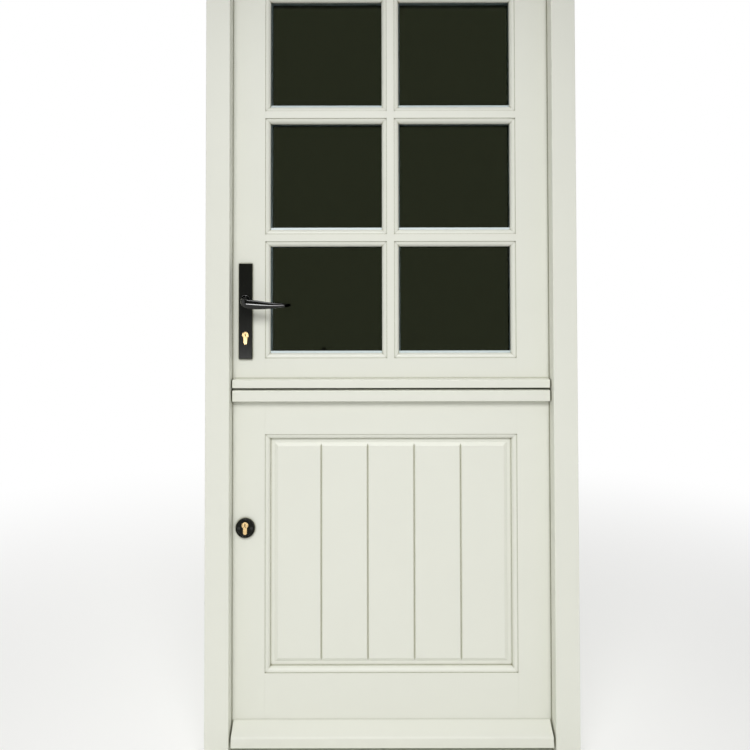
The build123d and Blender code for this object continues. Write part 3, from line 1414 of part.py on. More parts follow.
with BuildPart() as lever_outer:
    collar_ends = [(LOCK_X, COLLAR_FRONT - depth, LEVER_HEIGHT) for depth in (COLLAR_THICKNESS, 0)]
    round_bar(COLLAR_RADIUS, *collar_ends)
    fillet(lever_outer.edges().sort_by(Axis.Y)[0], COLLAR_ARRIS)
    round_bar(NECK_RADIUS, (LOCK_X, ARM_Y, LEVER_HEIGHT), (LOCK_X, COLLAR_FRONT, LEVER_HEIGHT))
    with Locations((LOCK_X, ARM_Y, LEVER_HEIGHT)):
        Sphere(NECK_RADIUS)
    for along, back, up, half_thickness, half_height in LEVER_STATIONS:
        with BuildSketch(
            Plane(
                origin=(LOCK_X + along, ARM_Y + back, LEVER_HEIGHT + up), x_dir=(0, 1, 0), z_dir=(1, 0, 0)
            )
        ):
            Ellipse(half_thickness, half_height)
    loft()
    fillet(lever_outer.edges().sort_by(Axis.X)[-1], LEVER_TIP_ROUND)
    block(
        about(LOCK_X, SPINDLE_WIDTH),
        (SPINDLE_SPAN[0], COLLAR_FRONT),
        about(LEVER_HEIGHT, SPINDLE_WIDTH),
        mode=Mode.SUBTRACT,
    )
finish(lever_outer, "lever_outer")

with BuildPart() as lever_inner:
    add(lever_outer.part.mirror(Plane.XZ.offset(-LEAF_MIDDLE)))
finish(lever_inner, "lever_inner")

# Escutcheons of the lower leaf

with BuildPart() as escutcheon_outer:
    centre = [
        (LOCK_X, y, ESCUTCHEON_CENTRE_HEIGHT)
        for y in (OUTER_ESCUTCHEON_FACE, OUTER_ESCUTCHEON_FACE + ESCUTCHEON_DISH, LEAF_FRONT)
    ]
    round_bar(ESCUTCHEON_RADIUS, centre[0], centre[2])
    fillet(escutcheon_outer.edges().sort_by(Axis.Y)[0], ESCUTCHEON_ARRIS)
    round_bar(ESCUTCHEON_RADIUS - ESCUTCHEON_RIM, centre[0], centre[1], mode=Mode.SUBTRACT)
    ESCUTCHEON_BLANK = escutcheon_outer.part
    add(
        euro_bar(LOWER_CYLINDER_HEIGHT, (centre[0][1], LEAF_FRONT), CYLINDER_CLEARANCE), mode=Mode.SUBTRACT
    )
    cut_screw_holes(ESCUTCHEON_SCREWS, SHORT_SCREW_HOLE)
finish(escutcheon_outer, "escutcheon_outer")

with BuildPart() as escutcheon_inner:
    add(escutcheon_outer.part.mirror(Plane.XZ.offset(-LEAF_MIDDLE)))
finish(escutcheon_inner, "escutcheon_inner")

# Bolt that joins the leaves


def guide(span):
    """A guide for the bolt's rod: a half-round bridge from the plate."""
    round_bar(JOIN_GUIDE_RADIUS, *[(JOIN_BOLT_X, JOIN_ROD_Y, z) for z in span])
    block(about(JOIN_BOLT_X, 2 * JOIN_GUIDE_RADIUS), (LEAF_BACK, JOIN_ROD_Y), span)
    rod_ends = [(JOIN_BOLT_X, JOIN_ROD_Y, z) for z in span]
    round_bar(JOIN_ROD_RADIUS + JOIN_ROD_CLEARANCE, *rod_ends, mode=Mode.SUBTRACT)


JOIN_PLATE_SPAN = (LEAF_BACK, LEAF_BACK + JOIN_PLATE_THICKNESS)

with BuildPart() as join_bolt_plate:
    block(about(JOIN_BOLT_X, JOIN_PLATE_WIDTH), JOIN_PLATE_SPAN, JOIN_GUIDE_SPAN)
    for span in JOIN_GUIDES:
        guide(span)
    with Locations(*JOIN_PLATE_SCREWS):
        add(SCREW_HOLE, mode=Mode.SUBTRACT)
finish(join_bolt_plate, "join_bolt_plate")

with BuildPart() as join_bolt_keep:
    block(about(JOIN_BOLT_X, JOIN_PLATE_WIDTH), JOIN_PLATE_SPAN, JOIN_KEEP_SPAN)
    guide(JOIN_KEEP_SPAN)
    with Locations(*JOIN_KEEP_SCREWS):
        add(SCREW_HOLE, mode=Mode.SUBTRACT)
finish(join_bolt_keep, "join_bolt_keep")

with BuildPart() as join_bolt_rod:
    round_bar(
        JOIN_ROD_RADIUS,
        (JOIN_BOLT_X, JOIN_ROD_Y, JOIN_ROD_LOW),
        (JOIN_BOLT_X, JOIN_ROD_Y, JOIN_ROD_LOW + JOIN_ROD_LENGTH),
    )
    chamfer(join_bolt_rod.edges().filter_by(GeomType.CIRCLE), JOIN_ROD_CHAMFER)
    round_bar(
        JOIN_KNOB_RADIUS,
        (JOIN_BOLT_X, JOIN_ROD_Y, JOIN_KNOB_HEIGHT),
        (JOIN_BOLT_X, JOIN_ROD_Y + JOIN_KNOB_LENGTH, JOIN_KNOB_HEIGHT),
    )
finish(join_bolt_rod, "join_bolt_rod")

# Screws of the two leaves

with BuildPart() as upper_screws:
    with Locations(*UPPER_HINGE_SCREWS, *UPPER_LOCK_SCREWS, *JOIN_PLATE_SCREWS):
        add(SCREW)
finish(upper_screws, "upper_screws")

with BuildPart() as lower_screws:
    with Locations(*LOWER_HINGE_SCREWS, *LOWER_LOCK_SCREWS, *JOIN_KEEP_SCREWS):
        add(SCREW)
    with Locations(*ESCUTCHEON_SCREWS):
        add(SHORT_SCREW)
finish(lower_screws, "lower_screws")
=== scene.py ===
"""Finishes, levers and weather seals for a timber stable door in its frame, with a plain studio."""

from math import radians

import bmesh
import bpy
import numpy as np
from bpy.props import FloatProperty, FloatVectorProperty, PointerProperty
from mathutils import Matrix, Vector


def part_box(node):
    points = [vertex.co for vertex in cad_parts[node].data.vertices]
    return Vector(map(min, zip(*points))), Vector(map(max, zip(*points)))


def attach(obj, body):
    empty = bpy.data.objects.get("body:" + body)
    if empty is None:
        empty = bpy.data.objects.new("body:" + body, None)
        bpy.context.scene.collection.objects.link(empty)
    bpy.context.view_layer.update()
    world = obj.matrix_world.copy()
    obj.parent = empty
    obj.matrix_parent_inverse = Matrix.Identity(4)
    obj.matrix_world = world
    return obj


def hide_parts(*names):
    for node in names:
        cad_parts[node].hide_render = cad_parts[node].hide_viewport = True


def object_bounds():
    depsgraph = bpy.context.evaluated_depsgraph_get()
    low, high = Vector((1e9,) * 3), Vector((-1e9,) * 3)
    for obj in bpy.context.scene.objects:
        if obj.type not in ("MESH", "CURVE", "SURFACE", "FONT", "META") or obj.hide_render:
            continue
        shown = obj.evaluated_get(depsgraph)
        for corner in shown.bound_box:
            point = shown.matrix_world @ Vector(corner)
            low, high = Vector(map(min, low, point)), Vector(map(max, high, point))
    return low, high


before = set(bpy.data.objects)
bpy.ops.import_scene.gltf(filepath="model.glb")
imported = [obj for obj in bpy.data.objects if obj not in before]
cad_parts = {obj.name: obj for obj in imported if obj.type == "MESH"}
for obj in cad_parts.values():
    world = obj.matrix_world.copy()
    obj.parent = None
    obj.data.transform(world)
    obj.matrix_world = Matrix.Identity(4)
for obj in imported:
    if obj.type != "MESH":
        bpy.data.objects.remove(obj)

bl_info = {
    "name": "Stable Door Finishes",
    "version": (1, 0, 0),
    "blender": (4, 5, 0),
    "location": "3D Viewport > Sidebar > Stable Door",
    "description": "Paint, glass, black furniture, levers and seals for a stable door",
    "category": "Object",
}

CAD_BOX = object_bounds()
MM = 0.001


def linear(code):
    """The linear colour of an sRGB hex code, as shader sockets and colour settings take it."""
    channels = [int(code[i : i + 2], 16) / 255 for i in (1, 3, 5)]
    return [c / 12.92 if c <= 0.04045 else ((c + 0.055) / 1.055) ** 2.4 for c in channels]


# Settings that a user would change


class PaintSettings(bpy.types.PropertyGroup):
    """Paint of the frame and the leaves."""

    colour: FloatVectorProperty(
        name="Paint colour",
        description="Colour of the joinery paint",
        subtype="COLOR",
        default=linear("#E5E6DB"),
    )
    # Painted shade: the colour that the paint is mixed towards in quirks, grooves and next to other
    # parts, where ambient occlusion finds them hidden from the light
    recess_shade: FloatVectorProperty(
        name="Recess colour",
        description="Colour that the paint takes deep in a quirk or groove",
        subtype="COLOR",
        default=linear("#7C7B4E"),
    )
    # Reach of the ambient occlusion that paints shade into quirks, grooves and the paint next to other
    # parts
    recess_shade_reach: FloatProperty(
        name="Recess reach",
        description="Size of the quirks and grooves that look sheltered",
        unit="LENGTH",
        default=6.0 * MM,
    )
    roughness: FloatProperty(
        name="Paint roughness",
        description="0.2 is an eggshell gloss, 0.5 is nearly matt",
        subtype="FACTOR",
        default=0.4,
        min=0.1,
        max=1.0,
    )
    arris: FloatProperty(
        name="Arris softness",
        description="Radius that the paint gives to every sharp edge of the timber",
        unit="LENGTH",
        default=0.9 * MM,
    )
    pore_spacing: FloatProperty(
        name="Pore spacing",
        description="Width of a drawn pore where the timber's grain shows through the paint",
        unit="LENGTH",
        default=2.4 * MM,
    )
    pore_depth: FloatProperty(
        name="Pore depth",
        description="Depth of the grain under the paint",
        unit="LENGTH",
        default=0.05 * MM,
    )


class GlazingSettings(bpy.types.PropertyGroup):
    """Glass and spacers of the sealed units."""

    outer_tint: FloatVectorProperty(
        name="Outer pane",
        description="Colour that light takes in the outer pane",
        subtype="COLOR",
        default=linear("#EEF4EE"),
    )
    # Painted shade: the inner pane is tinted nearly black so that the glass looks as dark as a dark room
    # behind it would make it
    inner_shade_tint: FloatVectorProperty(
        name="Inner pane",
        description="Colour that light takes in the solar-control inner pane",
        subtype="COLOR",
        default=linear("#2A2C20"),
    )
    unit_packing: FloatProperty(
        name="Unit packing",
        description="How much more of the spacer shows on the left, where a unit is packed off the stile",
        unit="LENGTH",
        default=3.0 * MM,
    )
    fillet: FloatProperty(
        name="Foot fillet",
        description="Height of the sealant fillet that sheds water at the foot of each pane",
        unit="LENGTH",
        default=5.5 * MM,
    )
    # Pale grey with a blue cast: partly the spacer's own colour, partly painted reflection of a pale sky
    spacer: FloatVectorProperty(
        name="Spacer",
        description="Colour of the spacer between the panes",
        subtype="COLOR",
        default=linear("#B4C0CE"),
    )
    # Partly the sealant's own pale colour, partly painted highlight: the sky's gleam along the foot of
    # the panes
    sealant: FloatVectorProperty(
        name="Sealant",
        description="Colour of the sealant along the foot of the panes",
        subtype="COLOR",
        default=linear("#CFDCDE"),
    )


class FurnitureSettings(bpy.types.PropertyGroup):
    """Colours of the black furniture and of the bare metals."""

    black: FloatVectorProperty(
        name="Powder coat",
        description="Colour of the black powder coat",
        subtype="COLOR",
        default=linear("#161713"),
    )
    brass: FloatVectorProperty(
        name="Brass",
        description="Colour of the lock cylinders",
        subtype="COLOR",
        default=linear("#BCA276"),
    )
    steel: FloatVectorProperty(
        name="Steel",
        description="Colour of faceplates, keeps and bolts",
        subtype="COLOR",
        default=linear("#B4B4AF"),
    )
    hinge: FloatVectorProperty(
        name="Hinges",
        description="Colour of the hinges",
        subtype="COLOR",
        default=linear("#BDBDB9"),
    )
    aluminium: FloatVectorProperty(
        name="Threshold",
        description="Colour of the threshold strip",
        subtype="COLOR",
        default=linear("#B2B5B6"),
    )
    rubber: FloatVectorProperty(
        name="Seals",
        description="Colour of the weather seals",
        subtype="COLOR",
        default=linear("#2B2A28"),
    )


class LeverSettings(bpy.types.PropertyGroup):
    """Sizes of a lever, in its own directions: along the arm, out from the leaf, and up."""

    collar_radius: FloatProperty(
        name="Collar radius",
        description="Radius of the collar against the backplate",
        unit="LENGTH",
        default=13.5 * MM,
    )
    collar_depth: FloatProperty(
        name="Collar depth",
        description="How far the collar stands out from the backplate",
        unit="LENGTH",
        default=7.0 * MM,
    )
    neck_radius: FloatProperty(
        name="Neck radius",
        description="Radius of the neck between collar and arm",
        unit="LENGTH",
        default=8.5 * MM,
    )
    bend_radius: FloatProperty(
        name="Bend radius",
        description="Radius of the bend from the neck into the arm",
        unit="LENGTH",
        default=13.0 * MM,
    )
    arm_drop: FloatProperty(
        name="Arm drop",
        description="How far the arm sinks below the middle of the collar where it leaves the bend",
        unit="LENGTH",
        default=12.5 * MM,
    )
    arm_height: FloatProperty(
        name="Arm height",
        description="Height of the arm at its widest",
        unit="LENGTH",
        default=24.0 * MM,
    )
    arm_thickness: FloatProperty(
        name="Arm thickness",
        description="Thickness of the arm at its widest",
        unit="LENGTH",
        default=13.0 * MM,
    )
    arm_lean: FloatProperty(
        name="Arm lean",
        description="How far the arm's section leans away from the leaf for each unit of height",
        default=0.14,
    )
    tip_height: FloatProperty(
        name="Tip height",
        description="Height of the arm just before its rounded tip",
        unit="LENGTH",
        default=10.0 * MM,
    )


class StageSettings(bpy.types.PropertyGroup):
    """Camera, floor and lamps."""

    camera_place: FloatVectorProperty(
        name="Camera place",
        description="Where the camera stands, in the door's own frame",
        subtype="TRANSLATION",
        unit="LENGTH",
        default=(-0.061, -1.703, 1.2),
    )
    camera_pitch: FloatProperty(
        name="Camera pitch",
        description="How far the camera looks up",
        subtype="ANGLE",
        default=radians(1.15),
    )
    lens: FloatProperty(
        name="Lens",
        description="Focal length on a sensor 36 mm wide",
        unit="CAMERA",
        default=31.8,
    )
    floor: FloatVectorProperty(
        name="Floor",
        description="Colour of the floor",
        subtype="COLOR",
        default=linear("#F4F4F2"),
    )
    cloth: FloatVectorProperty(
        name="Dark cloth",
        description="Colour of the cloth that the glass mirrors",
        subtype="COLOR",
        default=linear("#2E3128"),
    )
    ambient: FloatProperty(
        name="Ambient light",
        description="Strength of the even light from all round",
        default=0.42,
        min=0.0,
    )
    key: FloatProperty(
        name="Key lamp",
        description="Power of the large lamp above the camera, which the room lamp's power follows",
        unit="POWER",
        default=19.0,
        min=0.0,
    )
    strip: FloatProperty(
        name="Highlight strips",
        description="Power of the low strip that only lights polished pieces, twice the high one's",
        unit="POWER",
        default=64.0,
        min=0.0,
    )


class StableDoorSettings(bpy.types.PropertyGroup):
    """All settings of the door's looks."""

    paint: PointerProperty(type=PaintSettings)
    glazing: PointerProperty(type=GlazingSettings)
    furniture: PointerProperty(type=FurnitureSettings)
    lever: PointerProperty(type=LeverSettings)
    stage: PointerProperty(type=StageSettings)


# Node trees


def add_node(tree, kind, inputs=None, **settings):
    """Adds a node: settings are its own properties, inputs are values or the sockets that feed it."""
    node = tree.nodes.new("ShaderNode" + kind)
    for key, value in settings.items():
        setattr(node, key, value)
    for key, value in (inputs or {}).items():
        if isinstance(value, bpy.types.NodeSocket):
            tree.links.new(value, node.inputs[key])
        else:
            node.inputs[key].default_value = value
    return node


def with_alpha(colour):
    """A colour with full alpha, as colour sockets take it."""
    return (*colour, 1.0)


def start_material(name, **constants):
    """A material with one shader, whose sockets take the constants. Returns material, tree and shader."""
    material = bpy.data.materials.new(name)
    material.use_nodes = True
    tree = material.node_tree
    shader = tree.nodes["Principled BSDF"]
    for key, value in constants.items():
        shader.inputs[key.replace("_", " ")].default_value = value
    return material, tree, shader


def stretched_noise(tree, spacing, stretch, detail=3.0):
    """Noise in object space whose grains are spacing wide and longer by stretch along each axis."""
    place = add_node(tree, "TexCoord").outputs["Object"]
    scale = [1 / (spacing * factor) for factor in stretch]
    mapped = add_node(tree, "Mapping", {"Vector": place, "Scale": scale}).outputs["Vector"]
    return add_node(tree, "TexNoise", {"Vector": mapped, "Scale": 1.0, "Detail": detail}).outputs["Fac"]


def link(tree, output, shader, socket):
    """Feeds a shader's socket from an output."""
    tree.links.new(output, shader.inputs[socket])


# Materials

# How much longer than wide the marks of a finish are drawn, along X, Y and Z
GRAIN_LENGTH = 26.0
ALONG_X = (GRAIN_LENGTH, 1.0, 1.0)
ALONG_Z = (1.0, 1.0, GRAIN_LENGTH)
ROLLED = (20, 1, 20)
EXTRUDED_ALONG_X = (60, 1, 1)
TURNED_ON_Y = (1, 30, 1)
BRUSHED_UP = (1, 1, 40)
EVEN = (1, 1, 1)

# Rays that each soft edge and each corner of painted shade is worked out from
EDGE_SAMPLES = 6


def satin_paint(name, paint, grain):
    """Microporous satin paint sprayed on planed softwood: soft edges, faint grain, a low even sheen.

    Quirks, grooves and the places next to other parts are mixed towards a darker, greener colour:
    painted shade, from ambient occlusion. The timber's pores are a few tenths of a millimetre wide,
    too fine to show, so they are drawn about ten times as coarse.
    """
    cloud_spacing, cloud_shade = 180 * MM, 0.972
    open_from, sheltered_from = 0.9, 0.35
    smoother, rougher, grain_strength = 0.05, 0.06, 0.6
    material, tree, shader = start_material(name, Specular_IOR_Level=0.5)
    cloud = stretched_noise(tree, cloud_spacing, EVEN, detail=2.0)
    shade = [c * cloud_shade for c in paint.colour]
    colour = add_node(
        tree,
        "Mix",
        {"Factor": cloud, "A": with_alpha(paint.colour), "B": with_alpha(shade)},
        data_type="RGBA",
    )
    # Painted shade: ambient occlusion, from this piece and the parts near it, mixes the paint towards the
    # recess shade colour
    openness = add_node(
        tree, "AmbientOcclusion", {"Distance": paint.recess_shade_reach}, samples=EDGE_SAMPLES
    ).outputs["AO"]
    recess_shade_share = add_node(
        tree, "MapRange", {"Value": openness, "From Min": open_from, "From Max": sheltered_from}
    )
    painted_shade = add_node(
        tree,
        "Mix",
        {
            "Factor": recess_shade_share.outputs["Result"],
            "A": colour.outputs["Result"],
            "B": with_alpha(paint.recess_shade),
        },
        data_type="RGBA",
    )
    link(tree, painted_shade.outputs["Result"], shader, "Base Color")
    pores = stretched_noise(tree, paint.pore_spacing, grain)
    sheen = add_node(
        tree,
        "MapRange",
        {"Value": pores, "To Min": paint.roughness - smoother, "To Max": paint.roughness + rougher},
    )
    link(tree, sheen.outputs["Result"], shader, "Roughness")
    soft_edges = add_node(tree, "Bevel", {"Radius": paint.arris}, samples=EDGE_SAMPLES).outputs["Normal"]
    bump = add_node(
        tree,
        "Bump",
        {
            "Height": pores,
            "Distance": paint.pore_depth,
            "Strength": grain_strength,
            "Normal": soft_edges,
        },
    )
    link(tree, bump.outputs["Normal"], shader, "Normal")
    return material


def float_glass(glazing, cavity_middle):
    """Float glass in a sealed unit: a clear outer pane, and behind it a pane tinted nearly black: painted
    shade, standing in for a dark room beyond.

    It mirrors sharply, and lets the eye see the spacer but hardly the far side.
    """
    material, tree, shader = start_material(
        "sealed_unit_glass", Roughness=0.0, IOR=1.5, Transmission_Weight=1.0
    )
    place = add_node(tree, "TexCoord").outputs["Object"]
    depth = add_node(tree, "SeparateXYZ", {"Vector": place}).outputs["Y"]
    # Painted shade: glass behind the cavity's middle takes the near-black inner tint
    inner = add_node(tree, "Math", {0: depth, 1: cavity_middle}, operation="GREATER_THAN")
    tint = add_node(
        tree,
        "Mix",
        {
            "Factor": inner.outputs["Value"],
            "A": with_alpha(glazing.outer_tint),
            "B": with_alpha(glazing.inner_shade_tint),
        },
        data_type="RGBA",
    )
    link(tree, tint.outputs["Result"], shader, "Base Color")
    return material


def spacer_metal(glazing):
    """Rolled aluminium spacer with a satin lacquer: pale, with the rolling's fine lines. Its blue cast is
    painted reflection of a pale sky.

    The lines are too fine to show, so they are drawn 0.8 mm wide.
    """
    line_spacing, line_shade = 0.8 * MM, 0.9
    material, tree, shader = start_material("satin_spacer_bar", Metallic=0.3, Roughness=0.45)
    lines = stretched_noise(tree, line_spacing, ROLLED)
    colour = add_node(
        tree,
        "Mix",
        {
            "Factor": lines,
            "A": with_alpha(glazing.spacer),
            "B": with_alpha([c * line_shade for c in glazing.spacer]),
        },
        data_type="RGBA",
    )
    link(tree, colour.outputs["Result"], shader, "Base Color")
    return material


def glazing_sealant(glazing):
    """Tooled silicone sealant: a pale, wet-looking line. Its pale blue-white is partly the sealant's own
    colour and partly painted highlight, the sky's gleam along the foot of the panes.

    The tool's drag marks are drawn 1.2 mm wide so that they show.
    """
    mark_spacing, mark_shade = 1.2 * MM, 0.88
    material, tree, shader = start_material("tooled_silicone_sealant", Roughness=0.28)
    tooling = stretched_noise(tree, mark_spacing, ALONG_X)
    colour = add_node(
        tree,
        "Mix",
        {
            "Factor": tooling,
            "A": with_alpha(glazing.sealant),
            "B": with_alpha([c * mark_shade for c in glazing.sealant]),
        },
        data_type="RGBA",
    )
    link(tree, colour.outputs["Result"], shader, "Base Color")
    return material


def powder_coat(name, colour, roughness, edge, **constants):
    """Black powder coat on die-cast metal: soft edges and a fine orange peel that breaks up the gloss.

    The peel is finer than the picture shows, so it is drawn 1.2 mm wide.
    """
    peel_spacing, peel_depth, peel_strength = 1.2 * MM, 0.02 * MM, 0.5
    smoother, rougher = 0.04, 0.05
    material, tree, shader = start_material(name, Base_Color=with_alpha(colour), **constants)
    peel = stretched_noise(tree, peel_spacing, EVEN, detail=1.0)
    gloss = add_node(
        tree, "MapRange", {"Value": peel, "To Min": roughness - smoother, "To Max": roughness + rougher}
    )
    link(tree, gloss.outputs["Result"], shader, "Roughness")
    soft_edges = add_node(tree, "Bevel", {"Radius": edge}, samples=EDGE_SAMPLES).outputs["Normal"]
    bump = add_node(
        tree,
        "Bump",
        {"Height": peel, "Distance": peel_depth, "Strength": peel_strength, "Normal": soft_edges},
    )
    link(tree, bump.outputs["Normal"], shader, "Normal")
    return material


def bare_metal(name, colour, roughness, line_spacing, stretch, edge=0.4 * MM):
    """Metal with the fine lines of its finishing: brushed, turned or drawn, by the stretch.

    Real lines are about a tenth of a millimetre apart, too fine to show, so line_spacing is several
    times that. Slots and corners within shade_reach of other metal of the same piece are darkened:
    painted shade, from ambient occlusion.
    """
    line_shade, line_depth, line_strength = 0.86, 0.01 * MM, 0.4
    shade_reach, shade_factor = 3.0 * MM, 0.12
    open_from, sheltered_from = 0.85, 0.35
    smoother, rougher = 0.06, 0.08
    material, tree, shader = start_material(name, Metallic=1.0)
    lines = stretched_noise(tree, line_spacing, stretch)
    tone = add_node(
        tree,
        "Mix",
        {"Factor": lines, "A": with_alpha(colour), "B": with_alpha([c * line_shade for c in colour])},
        data_type="RGBA",
    ).outputs["Result"]
    # Painted shade: ambient occlusion within the piece darkens its slots and corners
    openness = add_node(
        tree, "AmbientOcclusion", {"Distance": shade_reach}, samples=EDGE_SAMPLES, only_local=True
    ).outputs["AO"]
    shade_share = add_node(
        tree, "MapRange", {"Value": openness, "From Min": open_from, "From Max": sheltered_from}
    ).outputs["Result"]
    shaded_tone = add_node(
        tree,
        "Mix",
        {"Factor": shade_share, "A": tone, "B": with_alpha([c * shade_factor for c in colour])},
        data_type="RGBA",
    )
    link(tree, shaded_tone.outputs["Result"], shader, "Base Color")
    gloss = add_node(
        tree, "MapRange", {"Value": lines, "To Min": roughness - smoother, "To Max": roughness + rougher}
    )
    link(tree, gloss.outputs["Result"], shader, "Roughness")
    soft_edges = add_node(tree, "Bevel", {"Radius": edge}, samples=EDGE_SAMPLES).outputs["Normal"]
    bump = add_node(
        tree,
        "Bump",
        {"Height": lines, "Distance": line_depth, "Strength": line_strength, "Normal": soft_edges},
    )
    link(tree, bump.outputs["Normal"], shader, "Normal")
    return material


def plated_screws(steel, black, leaf_front, leaf_back):
    """Zinc-plated steel screws, bright and slightly grained. Those on the leaf's faces are black.

    The leaf's faces are the places in front of leaf_front and behind leaf_back. The plating's
    crystals are too fine to show, so the grains are drawn 0.4 mm wide.
    """
    name = "zinc_plated_and_blacked_screws"
    material = bare_metal(name, steel, roughness=0.38, line_spacing=0.4 * MM, stretch=EVEN)
    tree = material.node_tree
    shader = tree.nodes["Principled BSDF"]
    tone = shader.inputs["Base Color"].links[0].from_socket
    place = add_node(tree, "TexCoord").outputs["Object"]
    depth = add_node(tree, "SeparateXYZ", {"Vector": place}).outputs["Y"]
    front = add_node(tree, "Math", {0: depth, 1: leaf_front}, operation="LESS_THAN").outputs["Value"]
    back = add_node(tree, "Math", {0: depth, 1: leaf_back}, operation="GREATER_THAN").outputs["Value"]
    face = add_node(tree, "Math", {0: front, 1: back}, operation="ADD").outputs["Value"]
    colour = add_node(
        tree, "Mix", {"Factor": face, "A": tone, "B": with_alpha(black)}, data_type="RGBA"
    )
    link(tree, colour.outputs["Result"], shader, "Base Color")
    metal = add_node(tree, "Math", {0: 1.0, 1: face}, operation="SUBTRACT").outputs["Value"]
    link(tree, metal, shader, "Metallic")
    return material


def seal_rubber(colour):
    """Extruded rubber: matt, with the faint draw lines of its die along each run.

    The lines are drawn 1.5 mm wide so that they show.
    """
    line_spacing, line_bloom = 1.5 * MM, 1.5
    material, tree, shader = start_material("extruded_rubber", Roughness=0.72)
    lines = stretched_noise(tree, line_spacing, (GRAIN_LENGTH, 1, GRAIN_LENGTH))
    tone = add_node(
        tree,
        "Mix",
        {"Factor": lines, "A": with_alpha(colour), "B": with_alpha([c * line_bloom for c in colour])},
        data_type="RGBA",
    )
    link(tree, tone.outputs["Result"], shader, "Base Color")
    return material


# Meshes from whole arrays


def node_points(node):
    """The points of a CAD node, one row each."""
    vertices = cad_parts[node].data.vertices
    places = np.empty(len(vertices) * 3)
    vertices.foreach_get("co", places)
    return places.reshape(-1, 3)


def grid_faces(rows, columns):
    """Quads between rings of points stored ring by ring, the last point of a ring joined to its first."""
    r, c = np.meshgrid(np.arange(rows - 1), np.arange(columns), indexing="ij")
    n = (c + 1) % columns
    quads = [r * columns + c, r * columns + n, (r + 1) * columns + n, (r + 1) * columns + c]
    return np.stack(quads, -1).reshape(-1, 4)


def skin(name, tubes, closed=False):
    """A closed skin over tubes, each an array of ring by point by place.

    Ring i is joined to ring i + 1 by quads. The last ring of a closed tube is joined to its first,
    and each end ring of an open one is closed by a fan to its own middle.
    """
    places, faces, offset = [], [], 0
    for rings in tubes:
        count, points, _ = rings.shape
        last, middle = (count - 1) * points, count * points
        places.append(rings.reshape(-1, 3))
        groups = [grid_faces(count + closed, points) % middle]
        if not closed:
            places.append(rings[[0, -1]].mean(axis=1))
            here = np.arange(points)
            after = (here + 1) % points
            groups.append(np.stack([after, here, np.full(points, middle)], -1))
            groups.append(np.stack([last + here, last + after, np.full(points, middle + 1)], -1))
        for group in groups:
            faces += (group + offset).tolist()
        offset = sum(len(part) for part in places)
    mesh = bpy.data.meshes.new(name)
    mesh.from_pydata(np.concatenate(places).tolist(), [], faces)
    form = bmesh.new()
    form.from_mesh(mesh)
    bmesh.ops.recalc_face_normals(form, faces=form.faces)
    form.to_mesh(mesh)
    form.free()
    piece = bpy.data.objects.new(name, mesh)
    bpy.context.scene.collection.objects.link(piece)
    return piece


def turned_rings(profile, centre, outward, segments=64):
    """Rings of a turned form: each profile point (radius, depth) goes round the axis through centre.

    The axis is Y; outward is -1 for the side that faces out of doors and 1 for the room side.
    """
    angle = np.linspace(0, 2 * np.pi, segments, endpoint=False) * -outward
    radius, depth = np.array(profile).T
    x = centre[0] + radius[:, None] * np.cos(angle)
    y = np.broadcast_to(centre[1] + outward * depth[:, None], x.shape)
    z = centre[2] + radius[:, None] * np.sin(angle)
    return np.stack([x, y, z], -1)


# Levers


def eased(share, start, end):
    """Goes from 0 at start to 1 at end, level at both, by 3t^2 - 2t^3."""
    t = np.clip((share - start) / (end - start), 0, 1)
    return t * t * (3 - 2 * t)


